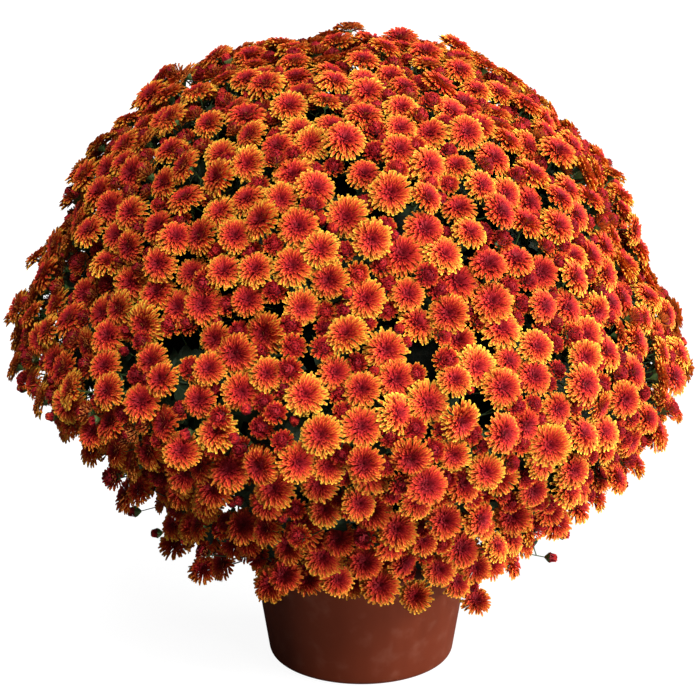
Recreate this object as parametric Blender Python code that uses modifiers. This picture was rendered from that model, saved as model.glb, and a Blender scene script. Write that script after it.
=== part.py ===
"""Pot chrysanthemum: a garden mum grown to a wide dome in a 9 inch pan.

Lengths are in metres, +Z is up, and the origin is the centre of the pot's underside.
Eight leafy stems rise from plain holes in the soil. Each forks to three sprays of flowers, and
the 24 sprays together cover the dome. A spray is one body: a thin curved bed, and on it a stalk
with a star-shaped bloom, or a round bud, at every place of a golden-angle spiral.
"""

import math
import random
from bisect import bisect_left

import bmesh
import bpy
import numpy as np
from mathutils import Matrix, Vector
from mathutils.geometry import delaunay_2d_cdt, interpolate_bezier

SEED = 41

# Pot
POT_HEIGHT = 0.155
POT_BASE_RADIUS = 0.094
POT_FLARE = 0.157  # growth of the radius for each metre of height, in metres
POT_WALL = 0.0024
POT_FOOT_ROUND = 0.007
POT_LIP_HEIGHT = 0.014
POT_LIP_WIDTH = 0.003
POT_SIDES = 32
DRAIN_HOLES = 5
DRAIN_RING = 0.060
DRAIN_RADIUS = 0.006
HOLE_SIDES = 8
SMOOTH_ANGLE = math.radians(40)

# Soil
SOIL_TOP = 0.134
SOIL_MOUND = 0.006
FIT_GAP = 0.0003  # between two pieces that touch

# Dome of flowers: a half ellipse over a flank that draws in to the pot
DOME_RADIUS = 0.318
DOME_WIDEST = 0.330
DOME_RISE = 0.299
FLANK_UPPER_HANDLE = (0.318, 0.276)
FLANK_LOWER_HANDLE = (0.200, 0.155)
DOME_LIP = (0.144, 0.103)
LEAN_HEIGHTS = (0.12, 0.20, 0.25, 0.33, 0.54)
LEAN_ALONG_X = (0.0, 0.008, 0.010, -0.012, -0.018)  # where the dome's middle stands at those heights
WAIST_DEPTH = 0.015
WAIST_HEIGHT = 0.440
WAIST_SPREAD = 0.055
WAIST_LEAN = 0.025  # the waist is higher on one side than on the other
SKIRT_SWELL = 0.010
SKIRT_HEIGHT = 0.330
OUTLINE_STEPS = 60

# Sprays and blooms
GOLDEN_ANGLE = math.pi * (3 - math.sqrt(5))
SPRAYS = 24
SPRAY_TURN = math.radians(20)
SPRAY_SWELL = 0.010
SPRAY_REACH = 0.110
BLOOMS = 398
LAST_SHARE = 0.970
BLOOM_RADIUS = 0.0340
BLOOM_NOTCH = 0.67
BLOOM_RISE = 0.0065
TIP_DROP = 0.0005
NOTCH_DROP = 0.0030
BLOOM_GAP = 0.0012
BLOOM_TILT = math.radians(11)
BLOOM_LIFT = 0.005
BUD_EVERY = 8
BUD_RADIUS = 0.0095
BUD_RISE = 0.007
BUD_SINK = 0.004
BUD_ROOM = 0.0125
STALK_RADIUS = 0.0045
STALK_SIDES = 3
BED_DEPTH = 0.015
BED_THICKNESS = 0.008
BED_TAPER = 0.78
BED_POINT = 0.002  # how far the middle of the underside, at its twig, is below its edge
POT_ROOM = 0.004  # from the pot's rim to the corners of a bed, whose straight edges come nearer
BED_SAMPLES = 5000
BED_DIRECTIONS = 9
BED_BORDER = 0.0008
LIP_CORNERS = 32
LIP_LEVEL = DOME_LIP[1] + 0.036  # the corners of the beds along the lip lie below this height
SPRAY_BORDER = 0.0115

# Leafy stems
STEMS = 8
STEM_RING = 0.038
STEM_RADIUS = 0.0054
STEM_SUNK = 0.024
HOLE_RADIUS = 0.0063
FORK_RADIUS = 0.0034
TWIG_TIP_RADIUS = 0.0018
SEAT_GAP = 0.0005
LEAF_LENGTH = 0.058
LEAF_WIDTH = 0.040
LEAF_THICKNESS = 0.0009
LEAF_ARCH = 0.010
LEAF_TROUGH = 0.004
LEAF_STALK = 0.016
LEAF_STALK_SHARE = 0.07  # of the leaf's half width
LEAF_HEART = 0.55
LEAF_LOBES = ((0.16, 0.32), (0.34, 0.95), (0.48, 0.42), (0.70, 0.78), (0.80, 0.30))

PETAL_COLOUR = (0.80, 0.16, 0.02, 1.0)
LEAF_COLOUR = (0.05, 0.11, 0.03, 1.0)
POT_COLOUR = (0.30, 0.085, 0.04, 1.0)
SOIL_COLOUR = (0.045, 0.028, 0.018, 1.0)


def clear_scene():
    for obj in list(bpy.data.objects):
        bpy.data.objects.remove(obj)


def make_material(name, colour, roughness):
    material = bpy.data.materials.new(name)
    material.use_nodes = True
    shader = material.node_tree.nodes["Principled BSDF"]
    shader.inputs["Base Color"].default_value = colour
    shader.inputs["Roughness"].default_value = roughness
    shader.inputs["Metallic"].default_value = 0.0
    return material


def make_object(name, mesh, material, collection):
    obj = bpy.data.objects.new(name, mesh)
    mesh.materials.append(material)
    collection.objects.link(obj)
    return obj


def mesh_from(bm, name):
    """The bmesh as a mesh whose faces all point out."""
    bmesh.ops.recalc_face_normals(bm, faces=bm.faces[:])
    mesh = bpy.data.meshes.new(name)
    bm.to_mesh(mesh)
    bm.free()
    return mesh


def turned(name, profile, material, collection, sides=POT_SIDES):
    """A solid of revolution. The (radius, height) profile runs from the axis, up inside, down outside."""
    mesh = bpy.data.meshes.new(name)
    points = [(radius, 0.0, height) for radius, height in profile]
    mesh.from_pydata(points, [(i, i + 1) for i in range(len(points) - 1)], [])
    obj = make_object(name, mesh, material, collection)
    screw = obj.modifiers.new("Turn", "SCREW")
    screw.steps = screw.render_steps = sides
    screw.use_merge_vertices = True
    screw.merge_threshold = 0.00001
    apply_modifiers(obj, material)
    obj.data.shade_smooth()
    obj.data.set_sharp_from_angle(angle=SMOOTH_ANGLE)
    return obj


def apply_modifiers(obj, material):
    """Gives the object the mesh that its modifiers make, and drops them."""
    bpy.context.view_layer.update()
    evaluated = obj.evaluated_get(bpy.context.evaluated_depsgraph_get())
    mesh = bpy.data.meshes.new_from_object(evaluated)
    mesh.materials.clear()
    mesh.materials.append(material)
    obj.modifiers.clear()
    obj.data = mesh


def cut_holes(obj, name, places, radius, low, high, material, cutters):
    """Cuts plain upright holes at the (x, y) places."""
    holes = bmesh.new()
    for x, y in places:
        bmesh.ops.create_cone(
            holes,
            cap_ends=True,
            segments=HOLE_SIDES,
            radius1=radius,
            radius2=radius,
            depth=high - low,
            matrix=Matrix.Translation((x, y, (low + high) / 2)),
        )
    cutter = make_object(name, mesh_from(holes, name), material, cutters)
    cutter.hide_render = True
    cutter.display_type = "WIRE"
    cut = obj.modifiers.new(name, "BOOLEAN")
    cut.operation = "DIFFERENCE"
    cut.object = cutter


# Pot and soil


def pot_radius(height):
    """The pot's outside radius at a height, below its lip."""
    return POT_BASE_RADIUS + POT_FLARE * height


def pot_inside(gap):
    """The pot's inside from the axis to its wall, over the rounded foot, or a line that far inside it."""
    return [
        (0.0, POT_WALL + gap),
        (pot_radius(0.0) - POT_FOOT_ROUND - gap, POT_WALL + gap),
        (pot_radius(POT_FOOT_ROUND) - POT_WALL - gap, POT_FOOT_ROUND + gap),
    ]


def make_pot(material, collection, cutters):
    lip_foot = POT_HEIGHT - POT_LIP_HEIGHT
    lip_radius = pot_radius(POT_HEIGHT) + POT_LIP_WIDTH
    inside = pot_inside(0.0)
    inside.append((pot_radius(POT_HEIGHT) - POT_WALL, POT_HEIGHT))
    lip = [
        (lip_radius - 0.001, POT_HEIGHT),
        (lip_radius, POT_HEIGHT - 0.001),
        (lip_radius, lip_foot),
        (pot_radius(lip_foot), lip_foot - 0.001),
    ]
    foot = []
    round_steps = 3
    for step in range(round_steps + 1):
        turn = math.pi / 2 * step / round_steps
        height = POT_FOOT_ROUND * (1 - math.sin(turn))
        inset = POT_FOOT_ROUND * (1 - math.cos(turn))
        foot.append((pot_radius(height) - inset, height))
    pot = turned("pot", inside + lip + foot + [(0.0, 0.0)], material, collection)
    turns = [math.tau * (hole + 0.5) / DRAIN_HOLES for hole in range(DRAIN_HOLES)]
    places = [(DRAIN_RING * math.cos(turn), DRAIN_RING * math.sin(turn)) for turn in turns]
    past = 0.002
    cut_holes(pot, "drain_holes", places, DRAIN_RADIUS, -past, POT_WALL + past, material, cutters)


def stem_place(stem):
    """Where a stem stands in the soil: (x, y), on a ring, below the middle one of its three sprays."""
    azimuth = (stem + STEMS) * GOLDEN_ANGLE + SPRAY_TURN
    return STEM_RING * math.cos(azimuth), STEM_RING * math.sin(azimuth)


def make_soil(material, collection, cutters):
    above = [
        (0.0, SOIL_TOP + SOIL_MOUND),
        (STEM_RING + 0.02, SOIL_TOP + SOIL_MOUND),
        (pot_radius(SOIL_TOP) - POT_WALL - FIT_GAP, SOIL_TOP),
    ]
    soil = turned("soil", above + pot_inside(FIT_GAP)[::-1], material, collection)
    places = [stem_place(stem) for stem in range(STEMS)]
    top = SOIL_TOP + SOIL_MOUND
    bottom = top - STEM_SUNK - FIT_GAP
    cut_holes(soil, "stem_holes", places, HOLE_RADIUS, bottom, top + 0.01, material, cutters)


# Shape of the dome


def dome_outline():
    """(radius, height) points from the crown to the lip."""
    crown = []
    for step in range(OUTLINE_STEPS):
        turn = math.pi / 2 * step / OUTLINE_STEPS
        crown.append((DOME_RADIUS * math.sin(turn), DOME_WIDEST + DOME_RISE * math.cos(turn)))
    knots = ((DOME_RADIUS, DOME_WIDEST), FLANK_UPPER_HANDLE, FLANK_LOWER_HANDLE, DOME_LIP)
    flank = interpolate_bezier(*[Vector(knot) for knot in knots], OUTLINE_STEPS)
    return crown + [tuple(point) for point in flank]


def area_shares(outline):
    """How much of the dome's area lies above each point of its outline, as a share from 0 to 1."""
    sums = [0.0]
    for (r0, z0), (r1, z1) in zip(outline, outline[1:]):
        sums.append(sums[-1] + (r0 + r1) * math.hypot(r1 - r0, z1 - z0))
    return [total / sums[-1] for total in sums]


OUTLINE = dome_outline()
SHARES = area_shares(OUTLINE)


def swell(azimuth, height):
    """How far the dome stands out of its plain outline: a waist above, a fuller skirt at its widest."""
    height += WAIST_LEAN * math.cos(azimuth)
    waist = math.exp(-(((height - WAIST_HEIGHT) / WAIST_SPREAD) ** 2))
    skirt = math.exp(-(((height - SKIRT_HEIGHT) / WAIST_SPREAD) ** 2))
    return SKIRT_SWELL * skirt - WAIST_DEPTH * waist


def dome_place(share, azimuth):
    """(point, outward normal) of the dome where a share of its area lies above, at an azimuth."""
    after = min(max(bisect_left(SHARES, share), 1), len(SHARES) - 1)
    (r0, z0), (r1, z1) = OUTLINE[after - 1], OUTLINE[after]
    along = (share - SHARES[after - 1]) / (SHARES[after] - SHARES[after - 1])
    radius = r0 + (r1 - r0) * along
    height = z0 + (z1 - z0) * along
    radius += swell(azimuth, height) * min(1.0, radius / DOME_RADIUS)
    out = Vector((math.cos(azimuth), math.sin(azimuth), 0.0))
    lean = float(np.interp(height, LEAN_HEIGHTS, LEAN_ALONG_X))
    point = out * radius + Vector((lean, 0.0, height))
    normal = (out * (z0 - z1) + Vector((0.0, 0.0, r1 - r0))).normalized()
    return point, normal


def tangents(normal, turn=0.0):
    """Two unit vectors square to the normal and to each other, turned about it."""
    side = Vector((0.0, 0.0, 1.0)).cross(normal)
    if side.length < 0.001:
        side = Vector((1.0, 0.0, 0.0))
    side.normalize()
    up = normal.cross(side)
    return (
        side * math.cos(turn) + up * math.sin(turn),
        up * math.cos(turn) - side * math.sin(turn),
    )


# Sprays of blooms


class Spray:
    """A spray's middle on the dome, and the blooms that are nearer to it than to any other."""

    def __init__(self, number):
        self.number = number
        share = LAST_SHARE * (number + 0.5) / SPRAYS
        azimuth = number * GOLDEN_ANGLE + SPRAY_TURN
        self.middle, self.normal = dome_place(share, azimuth)
        self.blooms = []
        self.corners = []
        self.lip = []
        self.seat = None

    def swollen(self, point, normal):
        """A point of the dome raised by this spray's own swell, which fades towards its border."""
        reach = (point - self.middle).length / SPRAY_REACH
        return point + normal * (SPRAY_SWELL * (1 - min(1.0, reach) ** 2))

    def level(self, point):
        """How far the point lies above the plane that touches the dome at the spray's middle."""
        return (point - self.middle).dot(self.normal)

    def border_gap(self, point, other):
        """How far the point lies on this spray's side of the plane half way to another spray."""
        between = (other.middle - self.middle).normalized()
        return ((other.middle + self.middle) / 2 - point).dot(between)


class Bloom:
    """One bloom or bud: where it sits over the bed, which way it faces, and how large it is."""

    def __init__(self, number, dice):
        share = LAST_SHARE * (number + 0.5) / BLOOMS
        azimuth = number * GOLDEN_ANGLE + math.radians(dice.uniform(-2.0, 2.0))
        self.foot, self.out = dome_place(share, azimuth)
        self.is_bud = number % BUD_EVERY == BUD_EVERY // 2
        self.petals = dice.choice((5, 6, 6))
        self.radius = BLOOM_RADIUS * dice.uniform(0.86, 1.0)
        self.spin = dice.uniform(0.0, math.tau)
        self.lift = dice.uniform(0.0, BLOOM_LIFT)
        across, along = tangents(self.out, dice.uniform(0.0, math.tau))
        self.facing = (self.out + across * math.tan(dice.uniform(0.0, BLOOM_TILT))).normalized()

    def settle(self, spray, sprays):
        """Moves the foot clear of the spray's border, and out by the spray's own swell."""
        for other in sprays:
            if other is not spray:
                short = SPRAY_BORDER - spray.border_gap(self.foot, other)
                self.foot -= (other.middle - spray.middle).normalized() * max(0.0, short)
        self.foot = spray.swollen(self.foot, self.out)
        self.heart = self.foot + self.out * self.lift

    def trimmed(self, arm, others):
        """The arm from the heart, shortened where it would reach past half the way to another bloom."""
        scale = 1.0
        for other in others:
            across = other.heart - self.heart
            reach = arm.dot(across) / across.length
            room = (across.length - BLOOM_GAP) / 2
            if other.is_bud:
                room = across.length - BUD_ROOM
            if reach * scale > room:
                scale = room / reach
        return arm * scale

    def rim(self, others):
        """The points round a bloom's edge, petal tip and notch in turn."""
        across, along = tangents(self.facing, self.spin)
        points = []
        for step in range(2 * self.petals):
            turn = math.pi * step / self.petals
            is_notch = step % 2
            radius = self.radius * (BLOOM_NOTCH if is_notch else 1.0)
            drop = NOTCH_DROP if is_notch else TIP_DROP
            arm = (across * math.cos(turn) + along * math.sin(turn)) * radius - self.facing * drop
            points.append(self.heart + self.trimmed(arm, others))
        return points

    def bud_rim(self):
        """The points round a bud's widest part."""
        across, along = tangents(self.facing, self.spin)
        sides = 2 * STALK_SIDES
        middle = self.heart - self.facing * BUD_SINK
        turns = [math.tau * step / sides for step in range(sides)]
        return [middle + (across * math.cos(t) + along * math.sin(t)) * BUD_RADIUS for t in turns]

    def stalk_foot(self):
        """The corners of the stalk where it leaves the bed."""
        across, along = tangents(self.out, self.spin)
        middle = self.foot - self.out * BED_DEPTH
        turns = [math.tau * step / STALK_SIDES for step in range(STALK_SIDES)]
        return [middle + (across * math.cos(t) + along * math.sin(t)) * STALK_RADIUS for t in turns]


def place_blooms():
    """The sprays, each with its own blooms."""
    dice = random.Random(SEED)
    sprays = [Spray(number) for number in range(SPRAYS)]
    blooms = [Bloom(number, dice) for number in range(BLOOMS)]
    for bloom in blooms:
        nearest = min(sprays, key=lambda spray: (spray.middle - bloom.foot).length)
        bloom.settle(nearest, sprays)
        nearest.blooms.append(bloom)
    return sprays, blooms


def share_out_dome(sprays):
    """Gives each spray the points of the dome that lie within its own borders, and those of the lip."""
    spiral = [(LAST_SHARE * n / BED_SAMPLES, n * GOLDEN_ANGLE) for n in range(BED_SAMPLES)]
    lip = [(LAST_SHARE, math.tau * n / LIP_CORNERS) for n in range(LIP_CORNERS)]
    for place in spiral + lip:
        point, normal = dome_place(*place)
        nearest = min(sprays, key=lambda spray: (spray.middle - point).length)
        others = [spray for spray in sprays if spray is not nearest]
        if all(nearest.border_gap(point, other) > BED_BORDER for other in others):
            bed_point = nearest.swollen(point, normal) - normal * BED_DEPTH
            nearest.corners.append(bed_point)
            if place in lip:
                nearest.lip.append(bed_point)


def add_bloom(bm, stalk, rim, top):
    """Joins the stalk's corners to the rim, and closes the rim with a fan of faces to the top."""
    rim = [bm.verts.new(point) for point in rim]
    top = bm.verts.new(top)
    owners = [round(step * STALK_SIDES / len(rim)) % STALK_SIDES for step in range(len(rim))]
    for step, corner in enumerate(rim):
        after = (step + 1) % len(rim)
        bm.faces.new((corner, rim[after], top))
        bm.faces.new((rim[after], corner, stalk[owners[step]]))
        if owners[step] != owners[after]:
            bm.faces.new((rim[after], stalk[owners[step]], stalk[owners[after]]))


def spray_bed(bm, spray):
    """The bed's upper face, triangulated between the stalks. Returns each bloom's stalk corners."""
    across, along = tangents(spray.normal)

    def flat(point):
        return Vector(((point - spray.middle).dot(across), (point - spray.middle).dot(along)))

    points = [point for bloom in spray.blooms for point in bloom.stalk_foot()]
    stalk_points = len(points)
    edges = []
    for first in range(0, stalk_points, STALK_SIDES):
        edges += [(first + i, first + (i + 1) % STALK_SIDES) for i in range(STALK_SIDES)]
    points += spray.lip
    for step in range(BED_DIRECTIONS):
        turn = math.tau * step / BED_DIRECTIONS
        heading = Vector((math.cos(turn), math.sin(turn)))
        corner = max(spray.corners, key=lambda point: flat(point).dot(heading))
        if all((corner - point).length > 2 * STALK_RADIUS for point in points):
            points.append(corner)
    chart = [flat(point) for point in points]
    _, _, triangles, source, _, _ = delaunay_2d_cdt(chart, edges, [], 0, 1e-7)
    corners = [bm.verts.new(points[origin[0]]) for origin in source]
    index_of = {origin[0]: corner for origin, corner in zip(source, corners)}
    for triangle in triangles:
        origins = [source[corner][0] for corner in triangle]
        on_edge = min(origins) >= stalk_points
        in_stalk = not on_edge and len({origin // STALK_SIDES for origin in origins}) == 1
        past_lip = on_edge and max(points[origin].z for origin in origins) < LIP_LEVEL
        if not in_stalk and not past_lip:
            bm.faces.new([corners[corner] for corner in triangle])
    return [
        [index_of[first + i] for i in range(STALK_SIDES)]
        for first in range(0, stalk_points, STALK_SIDES)
    ]


def clear_of_pot(point):
    """The point, moved outwards where it would come too near the pot's rim."""
    away = Vector((point.x, point.y, 0.0))
    short = pot_radius(POT_HEIGHT) + POT_LIP_WIDTH + POT_ROOM - away.length
    if point.z > POT_HEIGHT + POT_ROOM or short < 0:
        return point
    return point + away.normalized() * short


def close_bed(bm, spray):
    """Draws the bed's edge inwards to a smaller underside, and returns the underside's middle."""
    edge = [e for e in bm.edges if e.is_boundary]
    made = bmesh.ops.extrude_edge_only(bm, edges=edge)["geom"]
    low = [item for item in made if isinstance(item, bmesh.types.BMVert)]
    for corner in low:
        axis_point = spray.middle + spray.normal * spray.level(corner.co)
        under = axis_point.lerp(corner.co, BED_TAPER) - spray.normal * BED_THICKNESS
        corner.co = clear_of_pot(under)
    low_edges = [e for e in bm.edges if e.is_boundary]
    under = bmesh.ops.contextual_create(bm, geom=low_edges)["faces"]
    middle = bmesh.ops.poke(bm, faces=under)["verts"][0]
    lowest = min(spray.level(corner.co) for corner in low)
    deeper = lowest - BED_POINT - spray.level(middle.co)
    middle.co = clear_of_pot(middle.co + spray.normal * deeper)
    return middle.co.copy()


def make_spray(spray, blooms, material, collection):
    bm = bmesh.new()
    stalks = spray_bed(bm, spray)
    for bloom, stalk in zip(spray.blooms, stalks):
        near = [b for b in blooms if 0 < (b.heart - bloom.heart).length < 3 * BLOOM_RADIUS]
        rim = bloom.bud_rim() if bloom.is_bud else bloom.rim(near)
        rise = BUD_RISE if bloom.is_bud else BLOOM_RISE
        add_bloom(bm, stalk, rim, bloom.heart + bloom.facing * rise)
    spray.seat = close_bed(bm, spray)
    bmesh.ops.triangulate(bm, faces=bm.faces[:])
    name = f"spray_{spray.number + 1:02d}"
    return make_object(name, mesh_from(bm, name), material, collection)


# Leafy stems


def tube(name, points, radii, collection, resolution):
    """A round stem along a few points, with a radius at each, as a closed mesh."""
    curve = bpy.data.curves.new(name, "CURVE")
    curve.dimensions = "3D"
    curve.bevel_depth = 1.0
    curve.bevel_resolution = resolution
    curve.use_fill_caps = True
    line = curve.splines.new("POLY")
    line.points.add(len(points) - 1)
    for knot, point, radius in zip(line.points, points, radii):
        knot.co = (*point, 1.0)
        knot.radius = radius
    guide = bpy.data.objects.new(name, curve)
    collection.objects.link(guide)
    bpy.context.view_layer.update()
    evaluated = guide.evaluated_get(bpy.context.evaluated_depsgraph_get())
    mesh = bpy.data.meshes.new_from_object(evaluated)
    bpy.data.objects.remove(guide)
    bm = bmesh.new()
    bm.from_mesh(mesh)
    bmesh.ops.remove_doubles(bm, verts=bm.verts[:], dist=0.00001)
    mesh = mesh_from(bm, name)
    obj = bpy.data.objects.new(name, mesh)
    collection.objects.link(obj)
    return obj


def leaf_place(root, direction, face_up, length_share, width_share):
    """A point of an arched, troughed leaf, by its share of the length and of the half width."""
    side = direction.cross(face_up).normalized()
    up = side.cross(direction)
    along = max(0.0, length_share)
    arch = LEAF_ARCH * (4 * along * (1 - along) - along)
    trough = LEAF_TROUGH * abs(width_share)
    reach = LEAF_STALK + LEAF_LENGTH * length_share
    return root + direction * reach + side * (width_share * LEAF_WIDTH / 2) + up * (arch + trough)


def make_leaf(name, root, direction, face_up, collection):
    """A lobed leaf whose narrow stalk starts inside the stem."""
    direction = direction.normalized()
    right = [(-LEAF_STALK / LEAF_LENGTH, LEAF_STALK_SHARE), (0.0, LEAF_STALK_SHARE), *LEAF_LOBES]
    left = [(along, -across) for along, across in reversed(right)]
    bm = bmesh.new()
    rim = [
        bm.verts.new(leaf_place(root, direction, face_up, *share))
        for share in right + [(1.0, 0.0)] + left
    ]
    heart = bm.verts.new(leaf_place(root, direction, face_up, LEAF_HEART, 0.0))
    for step, corner in enumerate(rim):
        bm.faces.new((corner, rim[(step + 1) % len(rim)], heart))
    leaf = bpy.data.objects.new(name, mesh_from(bm, name))
    collection.objects.link(leaf)
    skin = leaf.modifiers.new("Thickness", "SOLIDIFY")
    skin.thickness = LEAF_THICKNESS
    skin.offset = 0.0
    return leaf


def bent_path(start, middle, end, pieces):
    """Points on a curve from start to end that leans towards the middle point."""
    points = []
    for step in range(pieces + 1):
        share = step / pieces
        first = start.lerp(middle, share)
        last = middle.lerp(end, share)
        points.append(first.lerp(last, share))
    return points


def shrinking(first, last, count):
    return [first + (last - first) * step / (count - 1) for step in range(count)]


def union_of(name, pieces, material, collection):
    """One solid from the pieces collection's objects, which are then removed."""
    core = pieces.objects[0]
    obj = make_object(name, core.data.copy(), material, collection)
    bpy.data.objects.remove(core)
    join = obj.modifiers.new("Join", "BOOLEAN")
    join.operation = "UNION"
    join.operand_type = "COLLECTION"
    join.collection = pieces
    apply_modifiers(obj, material)
    obj.data.shade_smooth()
    obj.data.set_sharp_from_angle(angle=SMOOTH_ANGLE)
    for piece in list(pieces.objects):
        bpy.data.objects.remove(piece)
    bpy.data.collections.remove(pieces)
    return obj


def make_stem(number, sprays, material, collection):
    """A stem from the soil that forks to three sprays, with a leaf by each fork and one on the trunk."""
    name = f"leafy_stem_{number + 1}"
    pieces = bpy.data.collections.new(name + "_pieces")
    bpy.context.scene.collection.children.link(pieces)
    x, y = stem_place(number)
    out = Vector((x, y, 0.0)).normalized()
    soil_level = SOIL_TOP + SOIL_MOUND
    foot = Vector((x, y, soil_level - STEM_SUNK))
    bend = Vector((x, y, soil_level + 0.010))
    fork = out * 0.066 + Vector((0.0, 0.0, 0.235))
    trunk = [foot, bend, bend.lerp(fork, 0.45) + out * 0.003, fork]
    tube("trunk", trunk, shrinking(STEM_RADIUS, FORK_RADIUS + 0.0008, 4), pieces, 1)
    for order in range(3):
        spray = sprays[number + STEMS * order]
        tip = spray.seat - spray.normal * SEAT_GAP
        start = trunk[3].lerp(trunk[2], 0.06 + 0.30 * order)
        knee = tip - spray.normal * (0.45 * (tip - start).length)
        path = bent_path(start, knee, tip, 3)
        tube(f"fork_{order}", path, shrinking(FORK_RADIUS, TWIG_TIP_RADIUS, 4), pieces, 0)
        heading = (path[2] - path[1]).normalized()
        side = heading.cross(Vector((0.0, 0.0, 1.0))).normalized()
        away = heading * 0.5 + side * 0.8 - spray.normal * 0.35
        make_leaf(f"leaf_{order}", path[1], away, spray.normal, pieces)
    make_leaf("leaf_low", trunk[2], out + Vector((0.0, 0.0, 0.1)), Vector((0.0, 0.0, 1.0)), pieces)
    return union_of(name, pieces, material, collection)


def main():
    clear_scene()
    plant = bpy.data.collections.new("pot_chrysanthemum")
    cutters = bpy.data.collections.new("cutters")
    for collection in (plant, cutters):
        bpy.context.scene.collection.children.link(collection)
    make_pot(make_material("pot_plastic", POT_COLOUR, 0.55), plant, cutters)
    make_soil(make_material("soil_mix", SOIL_COLOUR, 0.95), plant, cutters)
    petals = make_material("petals", PETAL_COLOUR, 0.60)
    leaves = make_material("leaf_green", LEAF_COLOUR, 0.55)
    sprays, blooms = place_blooms()
    share_out_dome(sprays)
    for spray in sprays:
        make_spray(spray, blooms, petals, plant)
    for number in range(STEMS):
        make_stem(number, sprays, leaves, plant)


main()
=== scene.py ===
# Looks of the pot chrysanthemum: 24 sprays of bronze blooms, their foliage, the pot and its soil.
# Lengths are in metres, +Z is up, and the origin is the centre of the pot's underside.

import math
import random
from bisect import bisect_left
from collections import namedtuple

import bmesh
import bpy
import numpy as np
from mathutils import Matrix, Vector
from mathutils.geometry import interpolate_bezier


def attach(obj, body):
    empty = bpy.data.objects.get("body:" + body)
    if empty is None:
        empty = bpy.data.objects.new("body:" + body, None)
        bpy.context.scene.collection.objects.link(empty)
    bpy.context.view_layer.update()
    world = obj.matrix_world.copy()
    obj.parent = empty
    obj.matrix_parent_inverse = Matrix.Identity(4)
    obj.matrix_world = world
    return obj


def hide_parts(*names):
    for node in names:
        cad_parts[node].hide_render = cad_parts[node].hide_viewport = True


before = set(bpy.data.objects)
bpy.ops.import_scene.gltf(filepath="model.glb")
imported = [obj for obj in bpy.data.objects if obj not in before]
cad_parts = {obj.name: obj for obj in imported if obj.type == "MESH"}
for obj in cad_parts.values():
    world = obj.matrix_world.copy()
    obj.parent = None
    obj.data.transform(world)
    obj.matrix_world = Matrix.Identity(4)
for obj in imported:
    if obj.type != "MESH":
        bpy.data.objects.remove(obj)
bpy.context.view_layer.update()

SEED = 7
MAP_NAME = "OFBake"
UP = np.array([0.0, 0.0, 1.0])
GOLDEN_ANGLE = math.pi * (3 - math.sqrt(5))

# Dome of flowers: a half ellipse over a flank that draws in to the pot, as in the solids
DOME_RADIUS = 0.318
DOME_WIDEST = 0.330
DOME_RISE = 0.299
FLANK_UPPER_HANDLE = (0.318, 0.276)
FLANK_LOWER_HANDLE = (0.200, 0.155)
DOME_LIP = (0.144, 0.103)
LEAN_HEIGHTS = (0.12, 0.20, 0.25, 0.33, 0.54)
LEAN_ALONG_X = (0.0, 0.008, 0.010, -0.012, -0.018)
OUTLINE_STEPS = 60
LAST_SHARE = 0.970

# The waist above the dome's widest place and the fuller skirt at it, both lower on the right
WAIST_DEPTH = 0.021
WAIST_HEIGHT = 0.440
WAIST_SPREAD = 0.055
WAIST_LEAN = 0.010
SKIRT_SWELL = 0.010
SKIRT_HEIGHT = 0.330

# Sprays and stems
SPRAYS = 24
SPRAY_TURN = math.radians(20)
SPRAY_SWELL = 0.010
SPRAY_REACH = 0.110
STEMS = 8
STEM_RING = 0.038

# Kinds of flower, which number the values below: open blooms, half open blooms and buds
OPEN, HALF, BUD = range(3)
RADII = (0.0197, 0.0122, 0.0062)
SIZE_RANGE = (0.84, 1.08)

# Distances that each kind keeps from open blooms, half open blooms and buds, and from a dark gap
SPACINGS = ((0.0264, 0.0, 0.0), (0.0182, 0.0164, 0.0), (0.0165, 0.0135, 0.0135))
GAP_MARGINS = (0.008, 0.003, -math.inf)
TRIES = (20000, 20000, 2500)
FLANK_THINNING = 0.20
THINNING_FADE = (0.0, 0.5)

# Heights of each kind above the dome, drawn a few times so that neighbours differ
LIFTS = ((-0.013, 0.002), (-0.017, -0.003), (-0.014, -0.002))
LIFT_TRIES = 5
LIFT_NEIGHBOURS = 0.040
CROWN_LIFT = 0.003
CROWN_LIFT_FADE = (0.70, 0.25)
FLANK_DRAW = 0.010
FLANK_DRAW_FADE = (0.10, 0.40)

# Flowers that stray out of the flank: where its normal points down, the share of each kind, how far
STRAY_BELOW = -0.20
STRAY_SHARES = (0.06, 0.06, 0.24)
STRAY_REACH = (0.003, 0.013)

# How flowers face: their random tilt in degrees, out from the axis, and up towards the light
GREATEST_TILT = 34.0
OUTWARD_LEAN = 0.20
UPWARD_LEAN = 0.30
FLANK_LEAN = 1.45
CROWN_RISE = 0.30
CROWN_RISE_FADE = (0.86, 0.10)
HANGING_OUT = 0.4
HANGING_FRONT = np.array([0.0, -0.6, 0.0])

# How far the petals' tones shift to yellow: painted light at the crown, where light falls from above, and
# ripeness in broad patches and at random
RIPE_START = -0.1
CROWN_PAINTED_LIGHT = 0.6
RIPE_PATCHES = 0.9
RIPE_SPREAD = 0.95
PATCH_WAVES = (9.0, 8.0, 7.0)
PATCH_SHIFT = 2.0

# Dark gaps between the blooms in front: degrees to the right of the middle, height, and radius
GAPS_IN_FRONT = (
    (-68, 0.431, 0.016), (-40, 0.394, 0.015), (-35, 0.308, 0.018), (-32, 0.407, 0.014),
    (-25, 0.249, 0.018), (-25, 0.196, 0.014), (-17, 0.358, 0.012), (-9, 0.356, 0.013),
    (-7, 0.405, 0.012), (-4, 0.520, 0.013), (-1, 0.548, 0.012), (8, 0.434, 0.012),
    (14, 0.413, 0.011), (21, 0.367, 0.012), (25, 0.412, 0.010), (25, 0.323, 0.012),
    (25, 0.260, 0.012), (40, 0.487, 0.012),
)

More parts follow.
